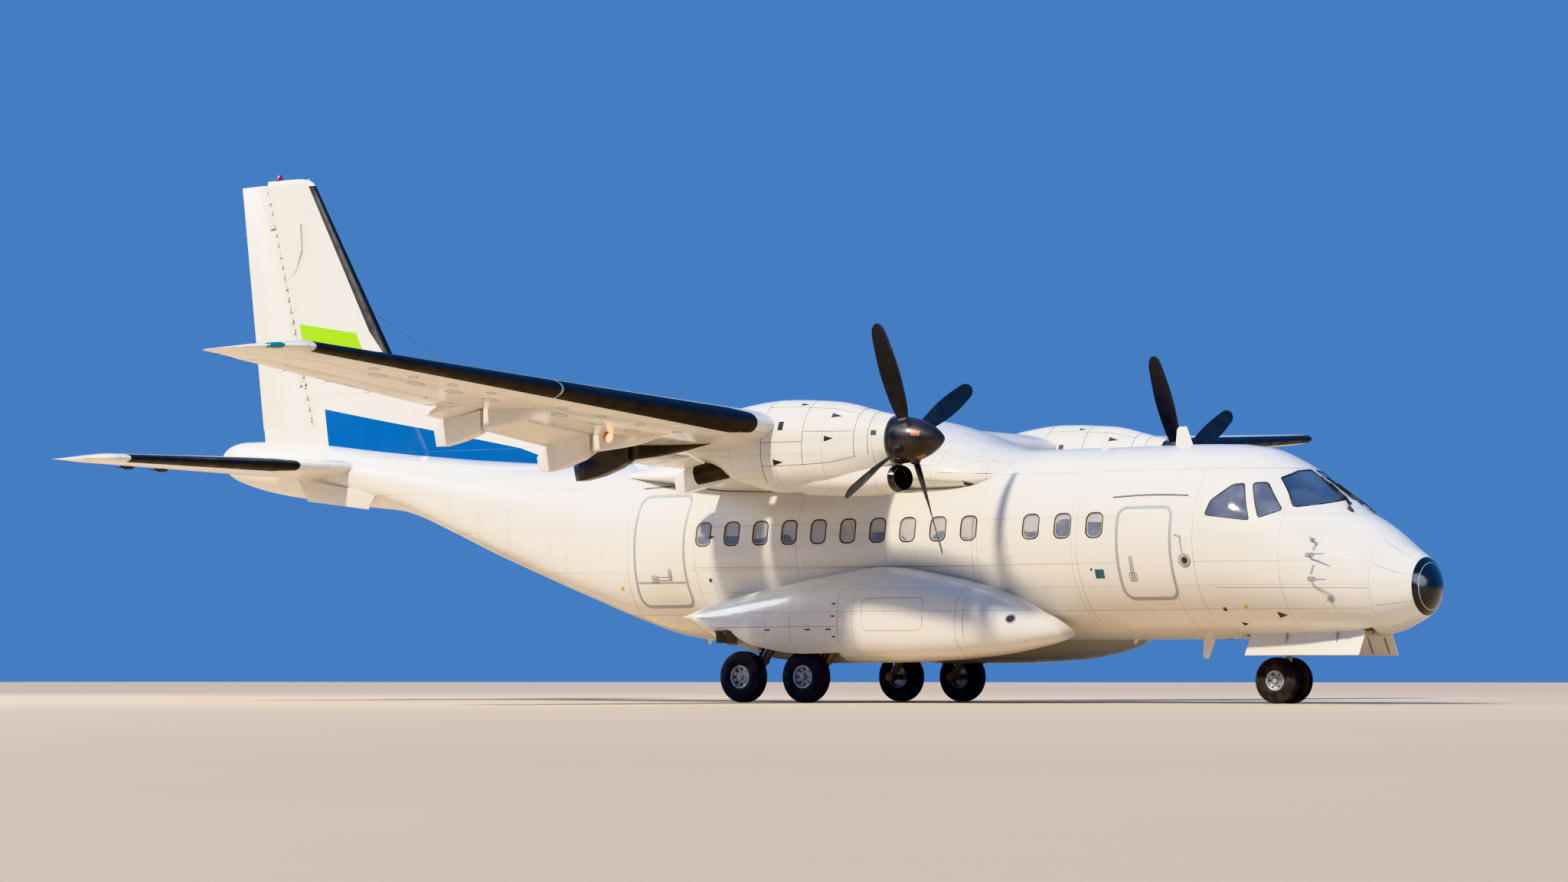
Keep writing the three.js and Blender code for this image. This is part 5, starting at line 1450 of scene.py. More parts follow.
def blade(name, hub, turn):
    outline = []
    for angle in circle(20):
        c = 0.5 * math.cos(angle)
        thick = 0.5 * abs(math.sin(angle)) * (1 + 0.35 * c) * (0.9 if math.sin(angle) > 0 else -0.55)
        outline.append((c, thick))
    rows = []
    for radius in [blend(0.24, 1.52, k / 16) for k in range(17)] + [1.56, 1.6, 1.63, 1.65, 1.665, 1.673]:
        chord, thickness, pitch = [smooth(BLADE, radius, c) for c in (1, 2, 3)]
        angle = math.radians(pitch)
        row = []
        for c, h in outline:
            along = c * chord * math.sin(angle) + h * thickness * math.cos(angle)
            around = c * chord * math.cos(angle) - h * thickness * math.sin(angle)
            row.append(hub + Matrix.Rotation(turn, 3, "X") @ Vector((along, around, radius)))
        rows.append(row)
    return wrap(name, capped(rows), 50)


for side_name, side in SIDES.items():
    body = f"propeller_{side_name}"
    hub = at(BLADE_STATION, side * ENGINE_Y, PROPELLER_Z)
    nose = at(0, side * ENGINE_Y, PROPELLER_Z)
    front = [SPINNER_FRONT + 0.44 * (k / 14) ** 1.6 for k in range(14)] + [SPINNER_SPLIT - 0.002]
    profile = [(spinner_radius(s), -s) for s in front] + [(0.0, -front[-1])]
    cone = turned(f"spinner_{side_name}_cone", profile, nose, X_AXIS, 64)
    fit(cone, spinner_brown, body, instead_of=[f"spinner_{side_name}"])
    back = [(spinner_radius(s), -s) for s in spread(SPINNER_SPLIT, SPINNER_BACK, 8)]
    lip = -SPINNER_BACK - 0.004
    profile = [(0.0, -SPINNER_SPLIT), *back, (0.29, lip), (0.06, lip), (0.06, -6.5), (0.0, -6.5)]
    fit(turned(f"spinner_drum_{side_name}", profile, nose, X_AXIS, 64), spinner_brown, body)
    blades, cuffs, patches = [], [], []
    for k in range(BLADE_COUNT):
        turn = math.radians(BLADE_PHASE + k * 360 / BLADE_COUNT)
        blades.append(blade("blade", hub, turn))
        out = Matrix.Rotation(turn, 3, "X") @ Vector((0, 0, 1))
        cuff = [hub + out * reach for reach in (0.2, 0.315, 0.335)]
        cuffs.append(tube("cuff", cuff, [0.075, 0.075, 0.05], 24))

        def spinner_skin(station, angle, lift, turn=turn, nose=nose):
            around = Matrix.Rotation(turn + angle, 3, "X") @ Vector((0, 0, spinner_radius(station) + lift))
            return Vector((nose.x - station, nose.y, nose.z)) + around

        patch = [(5.61, 0.62), (5.72, 0.62), (5.72, 0.92), (5.61, 0.92)]
        patches.append(plate("patch", patch, spinner_skin, 0.0012, -0.004, 2))
    fit_all(f"{body}_blades", blades, blade_paint, body, instead_of=[body])
    fit_all(f"blade_cuffs_{side_name}", cuffs, seal_black, body)
    fit_all(f"spinner_patches_{side_name}", patches, orange_patch, body)
print("propellers:", BLADE_COUNT, "blades each")
for side_name in SIDES:
    nodes[f"engine_{side_name}"].data.materials.clear()
    nodes[f"engine_{side_name}"].data.materials.append(bare_metal)

# %% [markdown]
# ## Tail
# The fin is swept and thin, and a long low ridge leads up to it from the cabin roof. The rudder
# hangs behind a straight hinge line, and the gap before its nose is closed by a row of small
# seal tabs. The tailplane goes through the tail cone and carries two elevators.

# %% Fin, ridge and rudder
FIN_THICKNESS = 0.12
RIDGE_TOP = [
    (13.85, 3.47), (14.5, 3.7), (15.27, 3.99), (16.55, 4.44), (17.3, 4.72), (17.72, 4.97), (18.0, 5.35),
]


def fin_leading(z):
    return 17.65 + 0.585 * (z - 4.88)


def fin_trailing(z):
    return 20.6 + 0.127 * (z - 4.62)


def fin_hinge(z):
    return 19.51 + 0.27 * (z - 4.31)


def fin_point(station, z, side, lift=0.0):
    leading, chord = fin_leading(z), fin_trailing(z) - fin_leading(z)
    share = min(1, max(0, (station - leading) / chord))
    return at(station, side * (half_thickness(share, FIN_THICKNESS) * chord + lift), z)


def on_fin(side):
    return lambda station, z, lift: fin_point(station, z, side, lift)


def fin_row(z, inset=0.0, back=0.0, thin=1.0):
    leading, trailing = fin_leading(z) + inset, fin_trailing(z) - back
    chord = trailing - leading
    halves = [(share, half_thickness(share, FIN_THICKNESS) * chord * thin) for share in FINE_SHARES]
    return ([at(leading + s * chord, h, z) for s, h in halves]
            + [at(leading + s * chord, -h, z) for s, h in reversed(halves[1:-1])])


fin_rows = [fin_row(z) for z in spread(3.7, 8.07, 24)]
for k in range(1, 8):
    turn = math.pi / 2 * k / 7
    ease = 1 - math.cos(turn)
    fin_rows.append(fin_row(8.07 + 0.108 * math.sin(turn), 0.26 * ease, 0.06 * ease, 1 - 0.6 * ease))
fin = wrap("fin_skin", capped(fin_rows))
gap_outline = [(fin_hinge(4.24) - 0.145, 4.24), (fin_hinge(8.4) - 0.085, 8.4), (24, 8.4), (24, 4.24)]
cut(fin, slab("rudder_room", gap_outline, 1))
ridge_rows = []
for station in spread(13.85, 18.0, 44):
    hull_top = smooth(HULL, station, 3)
    share = (station - 13.85) / 4.15
    top = max(hull_top + 0.001, smooth(RIDGE_TOP, station, 1))
    section = [0.035 + 0.05 * share, hull_top - 0.2, top, hull_top - 0.02, 2]
    ridge_rows.append(oval(station, 0, section, 40))
ridge = wrap("dorsal_ridge", capped(ridge_rows))
cut(fin, ridge, "UNION")
soften(fin)
fit(fin, fin_paint, instead_of=["fin"])
rudder_paint = white_paint("rudder_paint", ((Z_AXIS, 0.78),), ((Z_AXIS, 0.39),), 0.2, (1, 1, 0.3)).material
moving_surface("rudder", rudder_paint)

tabs = []
for side in SIDES.values():
    for k in range(30):
        z = 4.36 + k * 0.125
        s = fin_hinge(z) - 0.15 + 0.015 * (z - 4.2)
        outline = [(s - 0.06, z - 0.05), (s + 0.01, z - 0.03), (s + 0.01, z + 0.03), (s - 0.045, z + 0.05)]
        tabs.append(plate("tab", outline, on_fin(side), *PROUD, 2, 0.002))
fit_all("rudder_seal_tabs", tabs, panel_paint)
print("fin:", len(fin.data.polygons), "tabs:", len(tabs))

# %% [markdown]
# The fin's boot runs up most of the leading edge. It is made the same way as on the wing, with
# the surface turned upright. A tailplane is a small wing, and so are its boots.

# %% Tailplane, elevators and tail boots
TAIL_Z, TAIL_THICKNESS = 3.55, 0.12
# y, leading station, trailing station, share of the thickness
TAIL_TIP = [(5.04, 18.743, 19.934, 1.0), (5.18, 18.86, 19.905, 0.8), (5.3, 19.18, 19.89, 0.35)]


def tail_at(y):
    y = abs(y)
    if y > TAIL_TIP[0][0]:
        leading = smooth(TAIL_TIP, y, 1)
        return leading, smooth(TAIL_TIP, y, 2) - leading, TAIL_THICKNESS * smooth(TAIL_TIP, y, 3)
    leading = 18.016 + 0.18 * (y - 1)
    return leading, 20.5 - 0.14 * (y - 1) - leading, TAIL_THICKNESS


def tail_hinge(y):
    return 19.46 + 0.0472 * (abs(y) - 1.2)


def tail_point(y, share, upper, lift=0.0):
    leading, chord, thickness = tail_at(y)
    half = half_thickness(share, thickness) * chord
    lean = max(0.0, 1 - share / 0.1)
    rise = (half + lift * math.sqrt(1 - lean**2)) * (1 if upper else -1)
    return at(leading + share * chord - lift * lean, y, TAIL_Z + rise)


def under_tail(station, y, lift):
    leading, chord, _ = tail_at(y)
    return tail_point(y, min(1, max(0, (station - leading) / chord)), False, lift)


def fin_boot_point(z, share, left, lift=0.0):
    leading, chord = fin_leading(z), fin_trailing(z) - fin_leading(z)
    lean = max(0.0, 1 - share / 0.1)
    half = half_thickness(share, FIN_THICKNESS) * chord + lift * math.sqrt(1 - lean**2)
    return at(leading + share * chord - lift * lean, half if left else -half, z)


for side_name, side in SIDES.items():
    ys = spread(0.3, 5.04, 12) + [blend(5.04, 5.3, math.sin(math.pi / 2 * k / 7)) for k in range(1, 8)]
    rows = [skin_row(tail_point, side * y) for y in ys]
    plane = wrap(f"tailplane_{side_name}_skin", capped(rows))

    def room(y):
        leading, chord, thickness = tail_at(y)
        share = (tail_hinge(y) - leading) / chord
        return tail_hinge(y) - half_thickness(share, thickness) * chord - 0.012
    outline = [(room(0.25), side * 0.25), (room(5.02), side * 5.02), (24, side * 5.02), (24, side * 0.25)]
    cut(plane, block("room_tool", outline, 2, 5))
    soften(plane)
    fit(plane, wing_paint, instead_of=[f"tailplane_{side_name}"])
    moving_surface(f"elevator_{side_name}", wing_paint)
    fit(boot(f"tail_boot_{side_name}", tail_point, side * 1.8, side * 4.85, 0.085), boot_rubber)
    # The hinge slots are black discs, not openings: painted shade for the dark gaps.
    slots = []
    for k in range(33):
        y = side * (1.15 + k * 0.115)
        slot = [(room(y) - 0.05 + a, y + b) for a, b in disc(0, 0, 0.016, 10)]
        slots.append(plate("slot", slot, under_tail, 0.001, -0.004, 1))
    fit_all(f"tail_hinge_slots_{side_name}", slots, seal_black)
    dressed_copy(f"strake_{side_name}", "fin", panel_paint, edge=0.005, degrees=30)
fit(boot("fin_boot", fin_boot_point, 5.3, 8.05, 0.06), boot_rubber)
print("tailplane, elevators, strakes and three boots")

# %% [markdown]
# ## Landing gear
# The main wheels stand two a side, one behind the other, under long pods beside the cabin. A pod
# is an oval body again, blunt in front, with a bay cut in its underside.

# %% Gear pods
# station, bottom, top, outer y, squareness below
POD = [
    (4.99, 0.88, 0.96, 1.15, 2), (5.3, 0.76, 1.23, 1.52, 2.2), (5.8, 0.66, 1.5, 1.82, 2.5),
    (6.55, 0.58, 1.71, 2.09, 2.8), (7.6, 0.545, 1.86, 2.24, 3), (8.55, 0.545, 1.74, 2.25, 3),
    (9.4, 0.6, 1.61, 2.19, 2.8), (10.15, 0.78, 1.47, 2.05, 2.5), (10.7, 1.03, 1.33, 1.87, 2),
    (11.0, 1.19, 1.21, 1.7, 2),
]
POD_INNER = 0.88


def pod_section(station):
    bottom, top, outer, square = [smooth(POD, station, c) for c in (1, 2, 3, 4)]
    if station < 5.3:
        ease = math.sqrt((station - POD[0][0]) / (5.3 - POD[0][0]))
        bottom, top, outer = blend(0.9, 0.76, ease), blend(0.94, 1.23, ease), blend(1.1, 1.52, ease)
    return (outer - POD_INNER) / 2, bottom, top, (bottom + top) / 2, square


def pod_side(side):
    """The outer face of a pod, as a surface(station, z, lift)."""
    def surface(station, z, lift):
        section = pod_section(station)
        return oval_face(station, z, side, section, POD_INNER + section[0], 0.999, lift)
    return surface


for side_name, side in SIDES.items():
    rows = []
    for station in [4.99 + 0.31 * (k / 8) ** 2 for k in range(1, 8)] + spread(5.3, 11.0, 64):
        section = pod_section(station)
        rows.append(oval(station, side * (POD_INNER + section[0]), section, 72))
    pod = wrap(f"sponson_{side_name}_skin", capped(rows))
    bay = box_piece("bay", at(8.0, side * 1.5, 0.2), at(10.2, side * 2.11, 1.0))
    cut(pod, bay)
    soften(pod)
    fit(pod, hull_paint, instead_of=[f"sponson_{side_name}"])
    outer = pod_side(side)
    rings = [[(s, 1.42 if s < 6.5 else 1.55), (s, 0.75)] for s in (6.1, 7.95, 8.75, 10.25)]
    lines = strips([*rings, [(7.95, 1.04), (10.3, 1.04)]], outer, 0.008, *POD_SEAM)
    lines.append(band("panel", rounded(6.65, 7.55, 0.98, 1.42, 0.09), outer, 0.008, *POD_SEAM))
    dashes = strips([[(s, 1.0), (s + 0.09, 1.0)] for s in (8.05, 8.4, 9.1, 9.9)], outer, 0.022, *POD_SEAM)
    dashes += strips([[(7.99, z), (8.05, z)] for z in (1.35, 1.18, 0.9)], outer, 0.02, *POD_SEAM)
    fit_all(f"pod_seams_{side_name}", lines, seam_soft)
    fit_all(f"pod_dashes_{side_name}", dashes, dark_red)
    # The port is a black disc in a metal ring, not a hole: painted shade for its dark inside.
    fit(plate(f"pod_port_{side_name}", disc(5.52, 1.13, 0.045), outer, 0.004, -0.01, 2), seal_black)
    ring = band(f"pod_port_ring_{side_name}", disc(5.52, 1.13, 0.052), outer, 0.014, 0.006, -0.003)
    fit(ring, wheel_metal)
print("pods:", len(pod.data.polygons))

# %% [markdown]
# A tyre is a spun profile with straight grooves round it. The hub is spun too: a pale rim, a
# dished disc with eight holes, a ring of bolts and a cap. We model one wheel at the origin, with
# its outer face towards +Y, and set copies of it on the axles.

# %% Tyre and hub
def tyre_profile(radius, half, rim, grooves):
    profile = [(rim, -half * 0.8), (rim + 0.02, -half * 0.92)]
    for k in range(1, 12):
        angle = math.pi / 2 * k / 12
        profile.append((blend(rim + 0.03, radius, math.sin(angle) ** 0.9 if k > 1 else 0.12),
                        -half * (0.42 + 0.58 * math.cos(angle) ** 0.7)))
    crown = half * 0.42
    for k in range(grooves):
        middle = blend(-crown, crown, (k + 0.5) / grooves)
        profile += [
            (radius, middle - 0.009), (radius - 0.007, middle - 0.0065),
            (radius - 0.007, middle + 0.0065), (radius, middle + 0.009)]
    mirrored = [(r, -d) for r, d in reversed(profile[:13])]
    return profile + mirrored


def wheel_parts(radius, half, rim, holes, cap):
    """Tyre and hub about the origin, turning about Y, the outer face towards +Y."""
    tyre = turned("tyre", tyre_profile(radius, half, rim, 4), Vector(), Y_AXIS, 88, closed=True, degrees=40)
    deep = half * 0.8
    disc_profile = [
        (0.0, -deep * 0.5), (rim * 0.8, -deep * 0.5), (rim - 0.012, -deep), (rim + 0.004, -deep),
        (rim + 0.004, deep), (rim - 0.012, deep + 0.004), (rim - 0.022, deep), (rim - 0.03, deep * 0.55),
        (rim * 0.62, deep * 0.45), (cap + 0.022, deep * 0.62), (cap + 0.004, deep * 0.62),
        (cap, deep * 1.02), (cap * 0.85, deep * 1.1), (0.0, deep * 1.14),
    ]
    hub = turned("hub", disc_profile, Vector(), Y_AXIS, 72)
    bores, studs = [], []
    for angle in circle(holes):
        ray = Vector((math.cos(angle), 0, math.sin(angle)))
        spot = ray * rim * 0.7
        bore = [(0.0, 0), (rim * 0.115, 0), (rim * 0.115, 0.2), (0.0, 0.2)]
        bores.append(turned("bore", bore, spot + Vector((0, deep * 0.1, 0)), Y_AXIS, 20))
        tilt = angle + math.pi / holes
        place = Vector((math.cos(tilt), 0, math.sin(tilt))) * (cap + 0.013) + Vector((0, deep * 0.6, 0))
        stud = [(0.0, 0), (0.0062, 0), (0.0062, 0.009), (0.0, 0.009)]
        studs.append(turned("stud", stud, place, Y_AXIS, 6))
    cut(hub, join("bores", bores))
    soften(hub)
    return tyre, join("hub_and_bolts", [hub, *studs])


print("wheel model ready")

# %% [markdown]
# Four such wheels stand under the pods. A copy on the starboard side is turned half round about
# its own upright, so that its dished face looks outboard too.

# %% Main wheels
def placed(piece, name, axle):
    """A copy of a wheel part on its axle, turned so that its outer face is outboard."""
    matrix = Matrix.Translation(axle)
    if axle.y < 0:
        matrix = matrix @ Matrix.Rotation(math.pi, 4, "Z")
    made = piece.copy()
    made.data = piece.data.copy()
    made.data.transform(matrix)
    made.name = name
    made.data.name = name
    bpy.context.scene.collection.objects.link(made)
    return made


TYRE_RADIUS, TRACK_HALF = 0.355, 1.955
AXLE_STATIONS = {"front": 8.665, "rear": 9.735}
tyre, hub = wheel_parts(TYRE_RADIUS, 0.115, 0.16, 8, 0.045)
for side_name, side in SIDES.items():
    for axle_name, station in AXLE_STATIONS.items():
        body = f"main_wheel_{axle_name}_{side_name}"
        axle = at(station, side * TRACK_HALF, TYRE_RADIUS)
        fit(placed(tyre, f"{body}_tyre", axle), tyre_rubber, body, instead_of=[body])
        fit(placed(hub, f"{body}_hub", axle), wheel_metal, body, slot="bare_metal")
for model in (tyre, hub):
    bpy.data.objects.remove(model)
print("four main wheels")

# %% [markdown]
# The legs keep the frame's solids with rounded edges, and get what a mechanic would see: the
# bright piston rods, hoses clipped along the arms, and the bay's sheet walls above them.

# %% Main legs and bays
NUT = [(0.0, 0), (0.03, 0), (0.03, 0.03), (0.0, 0.035)]
for side_name, side in SIDES.items():
    dressed_copy(f"main_gear_{side_name}", "legs", gear_bronze, edge=0.006)
    rods, hoses, fittings = [], [], []
    y = side * 1.68
    for station in AXLE_STATIONS.values():
        top, foot = at(station - 0.13, y, 0.94), at(station - 0.06, y, 0.445)
        rods.append(bar("rod", top.lerp(foot, 0.42), foot, 0.0285, 24))
        fittings.append(bar("collar", top.lerp(foot, 0.36), top.lerp(foot, 0.44), 0.04, 24))
        arm_top, hub_at = at(station - 0.43, y, 0.94), at(station, y, TYRE_RADIUS)
        for off in (0.055, 0.085):
            path = []
            for t in spread(0.08, 0.94, 9):
                bow = math.sin(math.pi * t)
                path.append(arm_top.lerp(hub_at, t) + Vector((-0.03 - 0.02 * bow, side * off, 0.05 * bow)))
            hoses.append(tube("hose", path, [0.008] * 9, 10))
        for t in (0.3, 0.62):
            spot = arm_top.lerp(hub_at, t)
            along = (hub_at - arm_top).normalized()
            fittings.append(bar("clip", spot - along * 0.018, spot + along * 0.018, 0.066, 24))
        nut_at = at(station, side * 2.043, TYRE_RADIUS)
        fittings.append(turned("nut", NUT, nut_at, (0, side, 0), 6))
    fit_all(f"gear_rods_{side_name}", rods, chrome)
    fit_all(f"gear_hoses_{side_name}", hoses, seal_black)
    fit_all(f"gear_fittings_{side_name}", fittings, gear_grey)
    inner, far = side * 1.502, side * 2.106
    walls = [box_piece("wall", at(8.002, inner, 0.62), at(8.008, far, 0.998)),
             box_piece("wall", at(10.192, inner, 0.83), at(10.198, side * 1.98, 0.998)),
             box_piece("roof", at(8.002, side * 1.75, 0.992), at(10.198, far, 0.998))]
    for station in spread(8.25, 9.95, 8):
        low, high = at(station, side * 1.76, 0.95), at(station + 0.02, side * 2.1, 0.996)
        walls.append(box_piece("rib", low, high, 0.003))
    fit_all(f"gear_bay_walls_{side_name}", walls, bay_paint)
print("legs, rods and hoses")

# %% [markdown]
# The nose leg is fixed, the fork under it steers and carries both wheels. Two landing lamps on
# the leg are lit. The bay doors hang open on both sides and have folded stiffeners inside.

# %% Nose leg, wheels and doors
dressed_copy("nose_leg", "strut", gear_grey, edge=0.005)
dressed_copy("nose_fork", "yoke", gear_grey, "nose_fork")
NOSE_RADIUS, NOSE_STATION, NOSE_OFFSET, LEG_STATION = 0.305, 2.28, 0.175, 2.2
tyre, hub = wheel_parts(NOSE_RADIUS, 0.0975, 0.135, 6, 0.035)
tyres, hubs = [], []
for side in SIDES.values():
    axle = at(NOSE_STATION, side * NOSE_OFFSET, NOSE_RADIUS)
    tyres.append(placed(tyre, "nose_tyre", axle))
    hubs.append(placed(hub, "nose_hub", axle))
for model in (tyre, hub):
    bpy.data.objects.remove(model)
axle_ends = (at(NOSE_STATION, y, NOSE_RADIUS) for y in (-0.17, 0.17))
hubs.append(bar("axle", *axle_ends, 0.025, 32))
fit_all("nose_tyres", tyres, tyre_rubber, "nose_wheels", instead_of=["nose_wheels"])
fit_all("nose_hubs", hubs, wheel_metal, "nose_wheels", slot="bare_metal")

BEZEL = [(0.052, 0.0), (0.066, 0.0), (0.066, 0.014), (0.052, 0.012)]
LENS = [(0.0, 0.001), (0.054, 0.001), (0.054, 0.005), (0.036, 0.012), (0.0, 0.016)]
collars, hoses, lenses, bezels = [], [], [], []
for z, radius in ((0.665, 0.072), (0.83, 0.07), (1.02, 0.068), (1.2, 0.072)):
    collars.append(bar("collar", at(LEG_STATION, 0, z - 0.014), at(LEG_STATION, 0, z + 0.014), radius, 32))
for y in (-0.05, 0.05):
    path = []
    for t in spread(0, 1, 12):
        sway = math.copysign(0.012, y) * math.sin(7 * t)
        path.append(at(LEG_STATION + 0.062, y + sway, blend(1.32, 0.68, t)))
    hoses.append(tube("hose", path, [0.007] * 12, 10))
for side in SIDES.values():
    centre = at(2.05, side * 0.15, 0.76)
    bezels.append(turned("bezel", BEZEL, centre, X_AXIS, 40, closed=True))
    lenses.append(turned("lens", LENS, centre, X_AXIS, 32))
fit_all("nose_leg_collars", collars, wheel_metal)
fit_all("nose_leg_hoses", hoses, seal_black)
fit_all("landing_lamp_bezels", bezels, chrome)
fit_all("landing_lamp_lenses", lenses, lit_lamp)

DOOR_RIB = [(0.4, 0.868), (0.538, 0.657), (0.528, 0.65), (0.386, 0.862)]
for side_name, side in SIDES.items():
    dressed_copy(f"nose_door_{side_name}", "sheet", panel_paint)
    inside, links = [], []
    for station in spread(0.98, 2.44, 7):
        rows = [[at(station + a, side * y, z) for y, z in DOOR_RIB] for a in (0, 0.022)]
        inside.append(wrap("rib", capped(rows)))
    for station in (1.25, 2.0):
        upper, lower = at(station, side * 0.375, 1.12), at(station, side * 0.45, 0.79)
        links.append(bar("link", upper, lower, 0.011, 12))
    fit_all(f"nose_door_ribs_{side_name}", inside, bay_paint)
    fit_all(f"nose_door_links_{side_name}", links, gear_grey)
print("nose gear done")

# %% [markdown]
# ## Small parts
# From here on come the things that make an aircraft look used and real: aerials, probes, lamps,
# wipers, wicks, seams and plates. Parts on the hull near the nose are placed by station and
# angle, because there the skin faces forward and a height alone says little.

# %% Aerials, jack pad and beacons
def blade_aerial(name, station, foot, height, chord, thick, rake):
    rows = []
    for k in range(9):
        share = k / 8
        wide = chord * (1 - 0.5 * share) * (1 if k < 8 else 0.8)
        thin = thick * (1 - 0.45 * share) * (1 if k < 8 else 0.4)
        lead = station - chord / 2 + rake * share
        rows.append([at(lead + wide * (0.5 - 0.5 * math.cos(angle)),
                        thin * math.sin(angle) * (1.2 - 0.35 * (1 - math.cos(angle))),
                        foot + height * share) for angle in circle(20)])
    return wrap(name, capped(rows), 50)


# station, foot, height, chord, thickness, rake
AERIALS = [
    (3.78, 3.42, 0.31, 0.3, 0.026, 0.12), (13.05, 3.42, 0.38, 0.3, 0.026, 0.12),
    (3.4, 0.9, -0.3, 0.2, 0.018, 0.12), (5.0, 3.44, 0.2, 0.16, 0.012, 0.12),
    (4.55, 0.9, -0.1, 0.09, 0.01, 0.05), (11.75, 0.96, -0.13, 0.1, 0.01, 0.06),
]
blades = [blade_aerial("aerial", *sizes) for sizes in AERIALS]
fit_all("blade_aerials", blades, panel_paint)
UP, DOWN = (0, 0, 1), (0, 0, -1)
PAD = [(0.0, -0.03), (0.045, -0.03), (0.045, 0.012), (0.036, 0.015), (0.0, 0.015)]
fit(turned("jack_pad", PAD, at(3.1, 0, 0.86), DOWN, 32), bare_metal)
whip = [at(12.2, 0, 3.47), at(12.24, 0, 3.62), at(12.32, 0, 3.8)]
fit(tube("whip_aerial", whip, [0.009, 0.006, 0.004], 10), panel_paint)
wire = [at(18.33, 0, 6.02), at(16.6, 0, 5.02), at(14.75, 0, 3.84)]
fit(tube("wire_aerial", wire, [0.0035] * 3, 8), seal_black)
TOP_BEACON = [
    (0.0, 0.12), (0.02, 0.115), (0.036, 0.09), (0.04, 0.05), (0.05, 0.045), (0.05, 0.0), (0.0, 0.0),
]
BELLY_BEACON = [
    (0.0, 0.09), (0.03, 0.085), (0.05, 0.06), (0.055, 0.02), (0.065, 0.015), (0.065, 0.0), (0.0, 0.0),
]
beacons = [
    turned("beacon", TOP_BEACON, at(20.25, 0, 8.155), UP, 32),
    turned("beacon", BELLY_BEACON, at(7.0, 0, 0.862), DOWN, 32),
]
fit_all("anti_collision_beacons", beacons, red_lens)
fit(tube("fin_top_rod", [at(19.9, 0, 8.13), at(19.62, 0, 8.16)], [0.008, 0.005], 10), chrome)
print("aerials and beacons")

# %% [markdown]
# Air data come in through probes on both sides of the nose: two tubes that point forward on
# small grey feet, a vane, and a stubby sensor below them. The radome carries thin metal strips
# that lead lightning back to the hull.

# %% Nose probes and lightning strips
probes, feet, lightning = [], [], []
for side in SIDES.values():
    surface = on_side(side)

    def root_and_out(station, z, length, surface=surface):
        root = surface(station, z, 0.0)
        return root, surface(station, z, length) - root

    for station, z in ((1.32, 1.93), (1.3, 1.62)):
        root, out = root_and_out(station, z, 0.05)
        stem = root + out * 1.2
        path = [root, root + out, *(stem + Vector((ahead, 0, 0)) for ahead in (0.05, 0.2, 0.23))]
        probes.append(tube("probe", path, [0.012, 0.013, 0.012, 0.008, 0.006]))
        foot = rounded(station - 0.06, station + 0.05, z - 0.032, z + 0.032, 0.02, 3)
        feet.append(plate("foot", foot, surface, 0.004, -0.003, 2, 0.002))
    root, out = root_and_out(1.3, 2.12, 0.06)
    probes.append(tube("vane_axle", [root, root + out], [0.012, 0.01], 14))
    vane = [root + out * 0.8 + Vector((-0.06, 0, 0.035)), root + out + Vector((0.03, 0, -0.03))]
    probes.append(tube("vane", vane, [0.006, 0.008], 10))
    feet.append(plate("foot", disc(1.3, 2.12, 0.035), surface, 0.003, -0.003, 2, 0.0015))
    root, out = root_and_out(1.1, 1.36, 0.05)
    sensor = [root, root + out, root + out + Vector((-0.05, 0, -0.01))]
    probes.append(tube("sensor", sensor, [0.018, 0.014, 0.01], 14))
    feet.append(plate("foot", disc(1.1, 1.36, 0.045), surface, 0.003, -0.003, 2, 0.0015))
    feet.append(strip("bar", [(1.28, 1.99), (1.24, 2.1)], surface, 0.04, 0.002, -0.002))
    feet.append(strip("bar", [(1.3, 1.68), (1.26, 1.8)], surface, 0.03, 0.002, -0.002))
for angle in (0.35, 1.0, 1.57, 2.14, 2.8, -0.5, -2.64, -1.2, -1.94):
    lightning.append(strip("strip", [(0.585, angle), (0.1, angle)], hull_turn, 0.0135, *PAINTED))
fit_all("nose_probes", probes, chrome)
fit_all("probe_feet", feet, grey_line)
fit_all("lightning_strips", lightning, wheel_metal, slot="bare_metal")
edges = ((0.1, 0.001), (0.106, 0.001), (0.106, -0.003), (0.1, -0.003))
hoop_rows = [[hull_turn(s, angle, lift) for angle in circle(72)] for s, lift in edges]
hoop = wrap("radome_tip_hoop", hoop_rows, ring=True)
fit(hoop, wheel_metal)
print(len(probes), "probe parts,", len(lightning), "strips")

# %% [markdown]
# Two wipers rest on the windscreen. Each is an arm from a pivot on the nose, with a rubber blade
# held flat to the glass. A grab rail, gutters over the doors and a round port sit further aft.

# %% Wipers, gutters and ports
arms, rubbers = [], []
for side in SIDES.values():
    glass, pivot = on_front(side), (0.3, 2.53)
    arms.append(strip("arm", [pivot, (0.14, 2.72), (0.1, 2.88)], glass, 0.018, 0.034, 0.022))
    arms.append(plate("pivot", disc(*pivot, 0.028, 16), glass, 0.03, -0.004, 2, 0.004))
    rubbers.append(strip("rubber", [(0.16, 2.61), (0.075, 2.98)], glass, 0.02, 0.022, 0.001))
fit_all("wiper_arms", arms, seal_black)
fit_all("wiper_blades", rubbers, seal_black)

